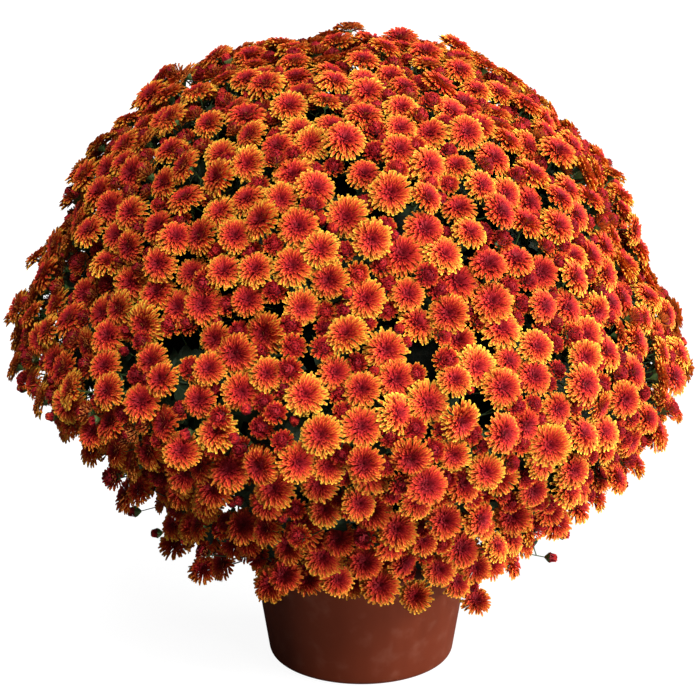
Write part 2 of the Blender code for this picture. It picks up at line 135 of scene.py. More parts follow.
# Gaps behind: how many, and the ranges of their share of the dome's area, half turn and radius
GAPS_BEHIND = 22
GAP_SHARES = (0.02, LAST_SHARE)
GAP_TURNS = (-0.05, 1.05)
GAP_RADII = (0.013, 0.022)

# Flowers on long stalks below the fringe: kind, degrees to the right of the middle, height, reach
HANGING = (
    (OPEN, -90, 0.131, 0.024), (OPEN, -70, 0.118, 0.012), (OPEN, 45, 0.108, 0.012),
    (BUD, 86, 0.146, 0.020), (BUD, 78, 0.134, 0.024), (BUD, -90, 0.242, 0.018),
    (BUD, -87, 0.209, 0.020), (BUD, -84, 0.177, 0.024), (BUD, -80, 0.156, 0.020),
    (BUD, 92, 0.215, 0.018),
)

# Rows of a petal from its foot to its tip: shares of its length, width and cup, and how many points
LONG_ROWS = ((0.0, 0.0, 0.0, 1), (0.50, 0.64, 0.5, 2), (0.84, 1.0, 1.0, 3), (0.98, 0.58, 0.9, 2))
BROAD_ROWS = ((0.0, 0.0, 0.0, 1), (0.76, 1.0, 1.0, 3), (0.98, 0.56, 0.8, 2))
SHORT_ROWS = ((0.0, 0.0, 0.0, 1), (0.74, 1.0, 1.0, 3), (1.0, 0.0, 0.4, 1))
KITE_ROWS = ((0.0, 0.0, 0.0, 1), (0.70, 1.0, 1.0, 2), (1.0, 0.0, 0.0, 1))
ROW_WAYS = {1: (0,), 2: (-1, 1), 3: (-1, 0, 1)}

# Rings of petals, in shares of the flower's radius: how many, the radius and height of their feet and
# of their tips, how far they arch, how wide they are, the cell of their tone, and their rows
Whorl = namedtuple("Whorl", "count foot tip arch width tone rows")
OPEN_WHORLS = (
    Whorl(28, (0.16, 0.04), (1.00, -0.06), 0.16, 0.150, 10, BROAD_ROWS),
    Whorl(26, (0.16, 0.08), (0.91, 0.11), 0.16, 0.155, 9, LONG_ROWS),
    Whorl(23, (0.14, 0.14), (0.79, 0.23), 0.15, 0.150, 7, BROAD_ROWS),
    Whorl(19, (0.12, 0.18), (0.64, 0.32), 0.13, 0.145, 6, BROAD_ROWS),
    Whorl(15, (0.10, 0.22), (0.47, 0.37), 0.10, 0.130, 4, SHORT_ROWS),
    Whorl(11, (0.05, 0.26), (0.30, 0.39), 0.05, 0.120, 2, KITE_ROWS),
    Whorl(7, (0.00, 0.28), (0.14, 0.38), 0.02, 0.110, 0, KITE_ROWS),
)
HALF_WHORLS = (
    Whorl(18, (0.30, 0.00), (1.00, 0.18), 0.14, 0.215, 9, BROAD_ROWS),
    Whorl(16, (0.30, 0.10), (0.89, 0.44), 0.18, 0.220, 6, BROAD_ROWS),
    Whorl(13, (0.30, 0.30), (0.73, 0.68), 0.16, 0.230, 4, SHORT_ROWS),
    Whorl(10, (0.24, 0.46), (0.54, 0.84), 0.14, 0.240, 3, SHORT_ROWS),
    Whorl(9, (0.46, 0.50), (0.26, 0.96), 0.10, 0.280, 2, KITE_ROWS),
    Whorl(6, (0.34, 0.62), (0.02, 1.04), 0.08, 0.300, 1, KITE_ROWS),
)
BUD_WHORLS = (
    Whorl(10, (0.98, -0.20), (0.42, 0.72), 0.30, 0.60, 4, BROAD_ROWS),
    Whorl(8, (0.80, 0.20), (0.22, 0.92), 0.24, 0.52, 3, BROAD_ROWS),
    Whorl(6, (0.50, 0.50), (0.05, 1.04), 0.14, 0.40, 2, KITE_ROWS),
)

# The heart below the inner petals: radius, the heights of its foot and top, and its sides
HEARTS = ((0.30, 0.16, 0.29, 6), (0.44, 0.36, 0.70, 6), (0.92, 0.08, 1.00, 10))
HEART_ALONG = 0.2

# The green cup below the flower: its radius and depth, and how far below the heart its stalk starts
CUPS = ((0.26, 0.30), (0.38, 0.46), (0.98, 0.95))
CUP_REACH = (0.28, 0.42, 0.90)
CUP_ROWS = ((1.0, 0.16), (0.84, -0.30), (0.16, -1.0))
CUP_SIDES = 6

# Patterns of each kind: whorls, the range in which the tips curl, and how many patterns
PATTERNS = ((OPEN_WHORLS, (0.05, 0.11), 6), (HALF_WHORLS, (0.02, 0.08), 5), (BUD_WHORLS, None, 3))
FLATNESS_RANGE = (0.88, 1.12)

# How far one petal differs from the next
PETAL_SHIFT = 0.30
PETAL_STRETCH = (0.90, 1.06)
PETAL_DROOP = 0.06
PETAL_LEAN = 0.5
PETAL_TWIST = 0.35
PETAL_CUP = 0.48
NARROWEST = 0.3
CURL_START = 0.8

# Stalks: radius, how it changes from the start to the end, sides, and the cell of their tone
Stalk = namedtuple("Stalk", "radius taper sides tone")
STEM = Stalk(0.0054, (1.0, 0.75), 9, 5.0)
FORK = Stalk(0.0034, (1.1, 0.8), 7, 4.0)
TWIG = Stalk(0.0015, (0.9, 1.5), 5, 3.0)
FLOWER_STALK = Stalk(0.0010, (0.85, 0.9, 1.0, 1.15), 3, 2.0)
LEAF_STALK = Stalk(0.0007, (1.0, 1.0), 3, 3.0)
CUP_TONE = 1.0

# Where stalks meet and stems fork, and how they bend on the way
MEETING_POINTS = 9
MEET_DEPTH = 0.042
HUB_DEPTH = 0.085
FORK_RING = 0.066
FORK_HEIGHT = 0.235
STEM_BOW = 0.004
STEM_BOW_HEIGHT = 0.190
STEM_BURIED = 0.020
STEM_KNOTS = 8
STEM_KNOBS = 0.10
KNOB_TURN = 2.4
FORK_KNOTS = 7
FORK_BEND = 0.4
TWIG_KNOTS = 5
TWIG_BEND = 0.5
STALK_KNOTS = 4
STALK_BEND = 0.45
BUD_STALK_SHARE = 0.7

# Leaves in shares of their length, and the ranges in which they differ
LEAF_LENGTH = 0.046
LEAF_HALF_WIDTH = 0.37
LEAF_STALK_LENGTH = 0.30
LEAF_STALK_OVERLAP = 0.02
LEAF_WAVE = 0.05
LEAF_WAVES = 17
LEAF_DROOP = (0.10, 0.38)
LEAF_FOLD = (0.10, 0.30)
LEAF_CURL = (-0.08, 0.08)

# Leaves among the flower stalks: where they start, how they lean, and what covers them
LEAVES_PER_SPRAY = 68
LEAF_STARTS = (0.15, 0.95)
LEAF_OUTWARD = (-0.10, 0.55)
LEAF_ROLL = 0.4
LEAF_UPRIGHT = 0.25
LEAF_SIZES = (0.62, 1.12)
LEAF_REACH = 1.2
LEAF_COVER = 0.025
LOW_LEAF_COVER = 0.012
LOW_NORMAL = -0.6

# Leaves along the twigs, and near-black lumps of painted shade behind them, which stand for the old growth
# there
INNER_LEAVES = 18
INNER_LEAF_OUTWARD = (-0.45, 0.15)
INNER_LEAF_ROLL = 0.3
INNER_LEAF_SIZES = (1.1, 1.5)
THICKET_DEPTH = 0.098
CROWN_THICKET_RISE = 0.016
THICKET_SIZE = (0.094, 0.094, 0.053)
THICKET_LUMPS = (0.82, 1.08)

# One side of a leaf, from its stalk round two lobes to its tip: shares of the length and half width
LEAF_EDGE = (
    (0.00, 0.05), (0.14, 0.10), (0.20, 0.44), (0.27, 0.70), (0.33, 0.94), (0.41, 0.80), (0.46, 0.36),
    (0.54, 0.60), (0.66, 0.84), (0.74, 0.62), (0.79, 0.28), (0.88, 0.34), (0.95, 0.20),
)
LEAF_MIDRIB = (0.0, 0.22, 0.46, 0.72, 1.0)

# The map that the plant's materials read: cells of tone along it, and bands across it
PETAL_CELLS = 12
LEAF_CELLS = 6
CELL_MARGIN = 0.06
BAND_MARGIN = 0.02
PETAL_BAND = (0.0, 0.76)
STALK_BAND = (0.80, 1.0)
LEAF_BAND = (0.0, 0.66)
THICKET_BAND = (0.68, 0.78)

# The order of materials on a piece
PETAL_FINISH = 0
LEAF_FINISH = 0
STALK_FINISH = 1
THICKET_SHADE_FINISH = 2

# Pot
POT_HEIGHT = 0.155
POT_BASE_RADIUS = 0.094
POT_FLARE = 0.157
POT_WALL = 0.0024
POT_FOOT_ROUND = 0.007
POT_INSIDE_ROUND = 0.006
POT_EDGE_ROUND = 0.0008
POT_LIP_ROUND = 0.0015
POT_LIP_HEIGHT = 0.014
POT_LIP_WIDTH = 0.003
POT_LIP_STEP = 0.001
POT_STAND = (0.055, 0.053)
POT_STAND_HEIGHT = 0.0012
POT_SIDES = 128
DRAIN_HOLES = 5
DRAIN_RING = 0.060
DRAIN_RADIUS = 0.006

# Soil
SOIL_TOP = 0.134
SOIL_MOUND = 0.006
SOIL_CLEARANCE = 0.0005
SOIL_CORNER = (0.008, 0.010)
SOIL_SPREAD = 0.001
SOIL_RINGS = 26
SOIL_SIDES = 96
SOIL_LUMPS = (-0.0018, 0.0012)

# Colours, as stops of (tone, colour) where they change
PETAL_TONES = (
    (0.00, (0.100, 0.002, 0.006)),
    (0.18, (0.26, 0.005, 0.010)),
    (0.38, (0.48, 0.020, 0.011)),
    (0.55, (0.62, 0.077, 0.015)),
    (0.70, (0.69, 0.19, 0.021)),
    (0.84, (0.76, 0.38, 0.030)),
    (0.97, (0.83, 0.57, 0.060)),
)
PETAL_BACK = (0.62, 0.24, 0.045, 1.0)
STALK_TONES = (
    (0.0, (0.085, 0.15, 0.035)),
    (0.35, (0.055, 0.11, 0.025)),
    (0.70, (0.050, 0.075, 0.022)),
    (1.0, (0.060, 0.042, 0.020)),
)
# Leaf greens darkened near to black: the leaves' own grey green with painted shade, as they lie in the
# gaps between the blooms
LEAF_TONES_WITH_SHADE = ((0.2, (0.005, 0.011, 0.004)), (0.5, (0.010, 0.021, 0.007)), (0.9, (0.022, 0.040, 0.015)))
LEAF_VEIN = (0.040, 0.068, 0.026, 1.0)
# Painted shade: near-black tones for the lumps deep inside, far darker than the plant's own old growth
THICKET_SHADE_TONES = (
    (0.35, (0.0006, 0.0008, 0.0005)),
    (0.55, (0.0014, 0.0018, 0.001)),
    (0.75, (0.005, 0.0035, 0.002)),
)
POT_TONES = ((0.3, (0.088, 0.015, 0.0055)), (0.55, (0.102, 0.0185, 0.0072)), (0.75, (0.121, 0.024, 0.010)))
POT_DUST = (0.42, 0.24, 0.17, 1.0)
SOIL_TONES = ((0.2, (0.012, 0.008, 0.005)), (0.5, (0.040, 0.024, 0.014)), (0.8, (0.10, 0.062, 0.036)))
FLOOR_GREY = (0.13, 0.13, 0.13, 1.0)
WHITE = (1.0, 1.0, 1.0, 1.0)

# Lamps: name, degrees from the camera's side to its right, elevation and spread in degrees, strength
LAMPS = (
    ("key_light", 50, 34, 6, 0.9),
    ("side_light", 86, 12, 35, 5.4),
    ("top_light", 2, 58, 30, 3.5),
    ("low_light", 42, 2, 14, 3.8),
)
LAMP_DISTANCE = 3.0
AMBIENT = 0.17
FLOOR_RADIUS = 14.0
FLOOR_DROP = 0.0005
FLOOR_GLOW = 0.93

# Camera
CAMERA_TARGET = (-0.0115, 0.0, 0.324)
CAMERA_DISTANCE = 2.4
CAMERA_ELEVATION = 17.5
SENSOR_WIDTH = 36.0
PHOTO_PIXELS = 700
PIXELS_PER_METRE = 1000


# Directions


def outward(azimuth):
    """The level unit vector at an azimuth."""
    return np.array([math.cos(azimuth), math.sin(azimuth), 0.0])


def unit(vectors):
    """Vectors brought to length 1."""
    return vectors / np.maximum(np.linalg.norm(vectors, axis=-1, keepdims=True), 1e-9)


def tangents(normals):
    """Two unit vectors square to each normal and to each other."""
    side = np.cross(UP, normals)
    flat = np.linalg.norm(side, axis=-1) < 0.001
    side[flat] = (1.0, 0.0, 0.0)
    side = unit(side)
    return side, np.cross(normals, side)


def sideways(normal, turn):
    """The unit vector square to a normal at a turn round it."""
    side, up = tangents(normal[None])
    return side[0] * math.cos(turn) + up[0] * math.sin(turn)


def fade(value, start, width):
    """A share that grows from 0 at the start to 1 over the width."""
    return min(1.0, max(0.0, value - start) / width)


# The dome


def dome_outline():
    """(radius, height) points from the crown to the lip."""
    crown = []
    for step in range(OUTLINE_STEPS):
        turn = math.pi / 2 * step / OUTLINE_STEPS
        crown.append((DOME_RADIUS * math.sin(turn), DOME_WIDEST + DOME_RISE * math.cos(turn)))
    knots = ((DOME_RADIUS, DOME_WIDEST), FLANK_UPPER_HANDLE, FLANK_LOWER_HANDLE, DOME_LIP)
    flank = interpolate_bezier(*[Vector(knot) for knot in knots], OUTLINE_STEPS)
    return crown + [tuple(point) for point in flank]


def area_shares(outline):
    """How much of the dome's area lies above each point of its outline, as a share from 0 to 1."""
    sums = [0.0]
    for (r0, z0), (r1, z1) in zip(outline, outline[1:]):
        sums.append(sums[-1] + (r0 + r1) * math.hypot(r1 - r0, z1 - z0))
    return [total / sums[-1] for total in sums]


OUTLINE = dome_outline()
SHARES = area_shares(OUTLINE)


def swell(azimuth, height):
    """How far the dome stands out of its plain outline: a waist above, a fuller skirt at its widest."""
    height += WAIST_LEAN * math.cos(azimuth)
    waist = math.exp(-(((height - WAIST_HEIGHT) / WAIST_SPREAD) ** 2))
    skirt = math.exp(-(((height - SKIRT_HEIGHT) / WAIST_SPREAD) ** 2))
    return SKIRT_SWELL * skirt - WAIST_DEPTH * waist


def dome_place(share, azimuth):
    """(point, outward normal) of the dome where a share of its area lies above, at an azimuth."""
    after = min(max(bisect_left(SHARES, share), 1), len(SHARES) - 1)
    (r0, z0), (r1, z1) = OUTLINE[after - 1], OUTLINE[after]
    along = (share - SHARES[after - 1]) / (SHARES[after] - SHARES[after - 1])
    radius = r0 + (r1 - r0) * along
    height = z0 + (z1 - z0) * along
    radius += swell(azimuth, height) * min(1.0, radius / DOME_RADIUS)
    out = Vector(outward(azimuth))
    lean = float(np.interp(height, LEAN_HEIGHTS, LEAN_ALONG_X))
    point = out * radius + Vector((lean, 0.0, height))
    normal = (out * (z0 - z1) + Vector((0.0, 0.0, r1 - r0))).normalized()
    return np.array(point), np.array(normal)


def place_ahead(degrees, height):
    """(share, azimuth) on the dome, from the degrees to the right of the middle and a height."""
    drops = [-z for _, z in OUTLINE]
    return float(np.interp(-height, drops, SHARES)), math.radians(degrees - 90)


SPRAY_PLACES = [
    dome_place(LAST_SHARE * (n + 0.5) / SPRAYS, n * GOLDEN_ANGLE + SPRAY_TURN)
    for n in range(SPRAYS)
]
SPRAY_MIDDLES = np.array([place for place, _ in SPRAY_PLACES])
SPRAY_NORMALS = np.array([normal for _, normal in SPRAY_PLACES])


# Meshes and heaps of triangles


def new_object(name, data):
    """A new object in the scene for a mesh, a lamp or the camera."""
    made = bpy.data.objects.new(name, data)
    bpy.context.scene.collection.objects.link(made)
    return made


def mesh_of(name, bm):
    """A mesh from what bmesh holds."""
    mesh = bpy.data.meshes.new(name)
    bm.to_mesh(mesh)
    bm.free()
    return mesh


def grid_faces(rows, columns):
    """Triangles between the points of a grid, which are numbered row by row."""
    row, column = np.meshgrid(np.arange(rows - 1), np.arange(columns - 1), indexing="ij")
    corner = (row * columns + column).ravel()
    first = np.stack([corner, corner + 1, corner + columns + 1], 1)
    second = np.stack([corner, corner + columns + 1, corner + columns], 1)
    return np.concatenate([first, second])


def band_place(cells, along, across, count, band):
    """Map places: the cell and the way along run sideways, and the way across fills the band."""
    low, high = band
    u = (cells + CELL_MARGIN + (1 - 2 * CELL_MARGIN) * np.clip(along, 0, 1)) / count
    v = low + (high - low) * (BAND_MARGIN + (1 - 2 * BAND_MARGIN) * np.clip(across, 0, 1))
    return np.stack(np.broadcast_arrays(u, v), -1)


def stalk_places(rows, columns, tone):
    """Map places of a grid of points on a stalk or a cup."""
    along = np.repeat(np.linspace(0, 1, rows), columns)
    across = np.tile(np.linspace(0, 1, columns), rows)
    return band_place(tone, along, across, LEAF_CELLS, STALK_BAND)


def tubes(paths, stalk, sizes):
    """Round stalks along many paths (copies, knots, 3), as points, faces and map places."""
    copies, knots = paths.shape[:2]
    taper = np.interp(np.linspace(0, 1, knots), np.linspace(0, 1, len(stalk.taper)), stalk.taper)
    radii = np.broadcast_to(sizes * stalk.radius * taper, (copies, knots))[..., None, None]
    heading = unit(np.gradient(paths, axis=1))
    _, lift = tangents(unit(paths[:, -1] - paths[:, 0] + 1e-6))
    side = unit(np.cross(heading, lift[:, None]))
    up = np.cross(heading, side)
    columns = stalk.sides + 1
    turns = math.tau * np.arange(columns) / stalk.sides
    ring = side[:, :, None] * np.cos(turns)[:, None] + up[:, :, None] * np.sin(turns)[:, None]
    points = (paths[:, :, None] + ring * radii).reshape(copies, -1, 3)
    return points, grid_faces(knots, columns), stalk_places(knots, columns, stalk.tone)


def bent(starts, knees, ends, knots):
    """Paths (copies, knots, 3) from starts to ends that lean towards the knees."""
    share = np.linspace(0, 1, knots)[None, :, None]
    first = starts[:, None] * (1 - share) + knees[:, None] * share
    last = knees[:, None] * (1 - share) + ends[:, None] * share
    return first * (1 - share) + last * share


class Heap:
    """Points, triangles, map places and finishes that together become one piece."""

    def __init__(self):
        self.points = []
        self.faces = []
        self.places = []
        self.finishes = []
        self.count = 0

    def add(self, points, faces, places, finish):
        """Adds one shape, or many copies: points (copies, n, 3) with one list of faces for all."""
        points = points.reshape(-1, *points.shape[-2:])
        copies, size = points.shape[:2]
        starts = self.count + size * np.arange(copies)
        self.points.append(points.reshape(-1, 3))
        self.faces.append((faces[None] + starts[:, None, None]).reshape(-1, 3))
        self.places.append(np.broadcast_to(places, (copies, size, 2)).reshape(-1, 2))
        self.finishes.append(np.full(copies * len(faces), finish))
        self.count += copies * size

    def add_stalks(self, paths, stalk, sizes=1.0):
        """Adds a round stalk along each path."""
        self.add(*tubes(paths, stalk, sizes), STALK_FINISH)

    def piece(self, name, materials, slot):
        """The heap as one smooth mesh object that rides on the plant."""
        faces = np.concatenate(self.faces)
        mesh = bpy.data.meshes.new(name)
        mesh.from_pydata(np.concatenate(self.points), [], faces)
        places = np.concatenate(self.places)[faces.ravel()]
        chart = mesh.uv_layers.new(name=MAP_NAME)
        chart.uv.foreach_set("vector", places.astype(np.float32).ravel())
        mesh.polygons.foreach_set("material_index", np.concatenate(self.finishes).astype(np.int32))
        mesh.shade_smooth()
        for material in materials:
            mesh.materials.append(material)
        obj = new_object(name, mesh)
        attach(obj, "root")
        return obj


# Petals and cups, in shares of the flower's radius


def petal_faces(rows):
    """Triangles between the rows of a petal."""
    faces, first = [], 0
    for near, far in zip(rows, rows[1:]):
        second = first + near[3]
        n, m = 0, 0
        while n < near[3] - 1 or m < far[3] - 1:
            behind = (m + 0.5) * max(near[3] - 1, 0.1) <= (n + 0.5) * max(far[3] - 1, 0.1)
            if m < far[3] - 1 and (behind or n == near[3] - 1):
                faces.append((first + n, second + m, second + m + 1))
                m += 1
            else:
                faces.append((first + n, second + m, first + n + 1))
                n += 1
        first = second
    return np.array(faces)


def whorl_shape(whorl, dice, curl):
    """One ring of petals: points, faces, tone cells, and the way along and across each petal."""
    spin = dice.uniform(0.0, math.tau)
    outside = 1 if whorl.tip[0] > whorl.foot[0] else -1
    petal = petal_faces(whorl.rows)[:, ::outside]
    points, faces, along, across = [], [], [], []
    for number in range(whorl.count):
        turn = spin + math.tau * (number + dice.uniform(-PETAL_SHIFT, PETAL_SHIFT)) / whorl.count
        stretch = dice.uniform(*PETAL_STRETCH)
        droop = dice.uniform(-PETAL_DROOP, PETAL_DROOP)
        lean = dice.uniform(-PETAL_LEAN, PETAL_LEAN) * whorl.width
        twist = dice.uniform(-PETAL_TWIST, PETAL_TWIST)
        out = outward(turn)
        side = np.array([-out[1], out[0], 0.0])
        faces.append(petal + len(points))
        for share, breadth, cup, count in whorl.rows:
            radius = whorl.foot[0] + (whorl.tip[0] * stretch - whorl.foot[0]) * share
            height = whorl.foot[1] + (whorl.tip[1] + droop - whorl.foot[1]) * share
            height += whorl.arch * 4 * share * (1 - share) + curl * fade(share, CURL_START, 1 - CURL_START)
            middle = out * radius + side * lean * share + UP * height
            half = whorl.width / 2 * breadth
            rise = PETAL_CUP * whorl.width * cup
            for way in ROW_WAYS[count]:
                points.append(middle + side * half * way + UP * (rise * abs(way) + twist * half * way))
                along.append(share)
                across.append(0.5 + way * 0.5 * max(breadth, NARROWEST))
    tones = np.full(len(along), whorl.tone)
    return np.array(points), np.concatenate(faces), tones, np.array(along), np.array(across)


def heart_shape(radius, foot, top, sides):
    """The closed heart that the inner petals stand on, in the same form as a ring of petals."""
    turns = math.tau * np.arange(sides) / sides
    ring = np.stack([radius * np.cos(turns), radius * np.sin(turns), np.full(sides, foot)], 1)
    points = np.vstack([ring, [[0.0, 0.0, top]]])
    faces = np.array([(n, (n + 1) % sides, sides) for n in range(sides)])
    tones, middle = np.zeros(sides + 1), np.full(sides + 1, 0.5)
    return points, faces, tones, np.full(sides + 1, HEART_ALONG), middle


def cup_shape(radius, depth):
    """The green cup below a flower: a rim of scales that narrows to the stalk."""
    turns = math.tau * np.arange(CUP_SIDES + 1) / CUP_SIDES
    ring = np.stack([np.cos(turns), np.sin(turns), np.zeros(CUP_SIDES + 1)], 1)
    points = [ring * radius * wide + UP * depth * drop for wide, drop in CUP_ROWS]
    rows, columns = len(CUP_ROWS), CUP_SIDES + 1
    return np.concatenate(points), grid_faces(rows, columns), stalk_places(rows, columns, CUP_TONE)


class Flower:
    """A pattern for flowers: petals with their tones round a closed heart, and a green cup below."""

    def __init__(self, whorls, curl, heart, cup, dice):
        shapes = [whorl_shape(whorl, dice, curl) for whorl in whorls] + [heart_shape(*heart)]
        starts = np.cumsum([0] + [len(shape[0]) for shape in shapes])
        self.points = np.concatenate([shape[0] for shape in shapes])
        self.faces = np.concatenate([shape[1] + start for shape, start in zip(shapes, starts)])
        self.tones, self.along, self.across = (
            np.concatenate([shape[n] for shape in shapes]) for n in (2, 3, 4)
        )
        self.cup = cup_shape(*cup)

    def places(self, shift):
        """Map places of the petals, with every tone shifted towards red or yellow."""
        cells = np.clip(self.tones + shift, 0, PETAL_CELLS - 1)
        return band_place(cells, self.along, self.across, PETAL_CELLS, PETAL_BAND)


def patterns_of(kind, dice):
    """The patterns for one kind of flower."""
    whorls, curls, count = PATTERNS[kind]
    return [
        Flower(whorls, dice.uniform(*curls) if curls else 0.0, HEARTS[kind], CUPS[kind], dice)
        for _ in range(count)
    ]


# Where the flowers stand


class Place:
    """Where one flower stands. It is given its height, facing, size and ripeness later."""

    def __init__(self, kind, share, azimuth, reach=0.0):
        self.kind = kind
        self.azimuth = azimuth
        self.reach = reach
        self.point, self.normal = dome_place(share, azimuth)
        self.spray = int(np.argmin(((SPRAY_MIDDLES - self.point) ** 2).sum(1)))


def dark_gaps(dice):
    """Places and radii of the gaps between the blooms: in front as in the photo, behind at random."""
    places = [dome_place(*place_ahead(degrees, height))[0] for degrees, height, _ in GAPS_IN_FRONT]
    radii = [radius for _, _, radius in GAPS_IN_FRONT]
    for _ in range(GAPS_BEHIND):
        share, turn = dice.uniform(*GAP_SHARES), math.pi * dice.uniform(*GAP_TURNS)
        places.append(dome_place(share, turn)[0])
        radii.append(dice.uniform(*GAP_RADII))
    return np.array(places), np.array(radii)


def scatter(dice):
    """Places for open blooms, then half open ones, then buds, none too near its neighbours."""
    gap_places, gap_radii = dark_gaps(dice)
    kept = []
    spots = np.zeros((0, 3))
    kinds = np.zeros(0, int)
    for kind in (OPEN, HALF, BUD):
        keep_off = np.array(SPACINGS[kind])
        for _ in range(TRIES[kind]):
            place = Place(kind, LAST_SHARE * dice.random(), dice.uniform(0.0, math.tau))
            room = np.linalg.norm(gap_places - place.point, axis=1) - gap_radii
            thinned = 1 + FLANK_THINNING * fade(-place.normal[2], *THINNING_FADE)
            near = np.linalg.norm(spots - place.point, axis=1) < thinned * keep_off[kinds]
            if room.min() < GAP_MARGINS[kind] or near.any():
                continue
            kept.append(place)
            spots = np.vstack([spots, place.point])
            kinds = np.append(kinds, kind)
    for kind, degrees, height, reach in HANGING:
        kept.append(Place(kind, *place_ahead(degrees, height), reach))
    return kept


def lift_of(place, taken, dice):
    """A height above the dome that differs from those of the neighbours."""
    tries = [dice.uniform(*LIFTS[place.kind]) for _ in range(LIFT_TRIES)]
    lift = max(tries, key=lambda height: min([abs(height - other) for other in taken] or [0.0]))
    if place.normal[2] < STRAY_BELOW and dice.random() < STRAY_SHARES[place.kind]:
        lift = dice.uniform(*STRAY_REACH)
    reach = np.linalg.norm(place.point - SPRAY_MIDDLES[place.spray]) / SPRAY_REACH
    lift += SPRAY_SWELL * (1 - min(1.0, reach) ** 2)
    lift += CROWN_LIFT * fade(place.normal[2], *CROWN_LIFT_FADE)
    lift -= FLANK_DRAW * fade(-place.normal[2], *FLANK_DRAW_FADE)
    return place.reach or lift


def facing_of(place, dice):
    """Where a flower faces: out of the dome with a random tilt, and up towards the light."""
    tilt = math.tan(math.radians(dice.uniform(0.0, GREATEST_TILT)))
    facing = place.normal + tilt * sideways(place.normal, dice.uniform(0.0, math.tau))
    out, height = outward(place.azimuth), place.normal[2]
    if place.reach and place.kind == BUD:
        return out
    crown = fade(height, *CROWN_RISE_FADE)
    facing += out * OUTWARD_LEAN * max(0.0, height) * (1 - crown)
    if place.reach:
        facing = out * HANGING_OUT + HANGING_FRONT
    rise = UPWARD_LEAN * (1 - abs(height)) + FLANK_LEAN * max(0.0, -height) + CROWN_RISE * crown
    return unit(facing + UP * rise)


def ripeness_of(place, dice):
    """How far a flower's tones shift towards yellow, in cells of the map: painted light at the crown,
    ripeness in patches and at random.
    """
    x, y, z = place.point * PATCH_WAVES
    patch = math.sin(x + PATCH_SHIFT) * math.cos(y - z)
    # Painted light: blooms at the crown, which face up to the light, shift further to yellow
    shift = RIPE_START + CROWN_PAINTED_LIGHT * max(0.0, place.normal[2]) + RIPE_PATCHES * patch
    return int(round(shift + dice.gauss(0.0, RIPE_SPREAD)))


def settle(places, patterns, dice):
    """Gives each flower its height above the dome, its facing, its size, its shift to yellow by ripeness
    and painted light, and its pattern.
    """
    spots = np.array([place.point for place in places])
    for number, place in enumerate(places):
        near = np.linalg.norm(spots[:number] - place.point, axis=1) < LIFT_NEIGHBOURS
        place.lift = lift_of(place, [places[n].lift for n in np.flatnonzero(near)], dice)
        place.facing = facing_of(place, dice)
        place.heart = place.point + place.normal * place.lift
        place.radius = RADII[place.kind] * dice.uniform(*SIZE_RANGE)
        place.spin = dice.uniform(0.0, math.tau)
        place.ripeness = ripeness_of(place, dice)
    for place in places:
        place.pattern = dice.choice(patterns[place.kind])


def frames_of(places):
    """Rotation matrices that turn a pattern's +Z to each flower's facing, with its own spin."""
    facing = np.array([place.facing for place in places])
    spin = np.array([place.spin for place in places])[:, None]
    side, up = tangents(facing)
    across = side * np.cos(spin) + up * np.sin(spin)
    along = up * np.cos(spin) - side * np.sin(spin)
    return np.stack([across, along, facing], -1)


def copies_of(points, places, flatness):
    """The pattern's points at every place: turned, scaled and moved."""
    scale = np.array([[place.radius, place.radius, place.radius * flatness] for place in places])
    hearts = np.array([place.heart for place in places])
    return np.einsum("nij,nmj->nmi", frames_of(places), points[None] * scale[:, None]) + hearts[:, None]


# Sprays


def add_flowers(heap, places, pattern, dice):
    """Every flower of one pattern, with its cup. Those of one shift to yellow, by ripeness and painted
    light, are as flat as each other.
    """
    for shift in sorted({place.ripeness for place in places}):
        alike = [place for place in places if place.ripeness == shift]
        petals = copies_of(pattern.points, alike, dice.uniform(*FLATNESS_RANGE))
        heap.add(petals, pattern.faces, pattern.places(shift), PETAL_FINISH)
        cup, cup_faces, cup_places = pattern.cup
        heap.add(copies_of(cup, alike, 1.0), cup_faces, cup_places, STALK_FINISH)


def farthest(points, count):
    """Numbers of points that lie far from each other."""
    chosen = [0]
    gap = np.linalg.norm(points - points[0], axis=1)
    while len(chosen) < min(count, len(points)):
        chosen.append(int(np.argmax(gap)))
        gap = np.minimum(gap, np.linalg.norm(points - points[chosen[-1]], axis=1))
    return chosen


def add_flower_stalks(heap, places, hub):
    """A stalk for each flower, to where those near it meet. Returns their paths and meeting points."""
    hearts = np.array([place.heart for place in places])
    facings = np.array([place.facing for place in places])
    middles = hearts[farthest(hearts, MEETING_POINTS)]
    owner = np.argmin(np.linalg.norm(hearts[:, None] - middles[None], axis=2), axis=1)
    means = np.array([hearts[owner == n].mean(0) for n in range(len(middles))])
    meets = means + unit(hub - means) * MEET_DEPTH
    starts = hearts - facings * np.array([[place.radius * CUP_REACH[place.kind]] for place in places])
    reach = np.linalg.norm(meets[owner] - starts, axis=1, keepdims=True)
    paths = bent(starts, starts - facings * reach * STALK_BEND, meets[owner], STALK_KNOTS)
    sizes = np.array([[BUD_STALK_SHARE if place.kind == BUD else 1.0] for place in places])
    heap.add_stalks(paths, FLOWER_STALK, sizes)
    return paths, meets


def make_spray(number, places, patterns, materials, dice):
    """One spray's flowers and their stalks. Returns the stalks' paths, where they meet, and the hub."""
    heap = Heap()
    for pattern in patterns[OPEN] + patterns[HALF] + patterns[BUD]:
        add_flowers(heap, [place for place in places if place.pattern is pattern], pattern, dice)
    hub = SPRAY_MIDDLES[number] - SPRAY_NORMALS[number] * HUB_DEPTH
    paths, meets = add_flower_stalks(heap, places, hub)
    piece = heap.piece(f"bloom_spray_{number + 1:02d}", materials, "petals")
    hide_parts(f"spray_{number + 1:02d}")
    return paths, meets, hub


# Foliage


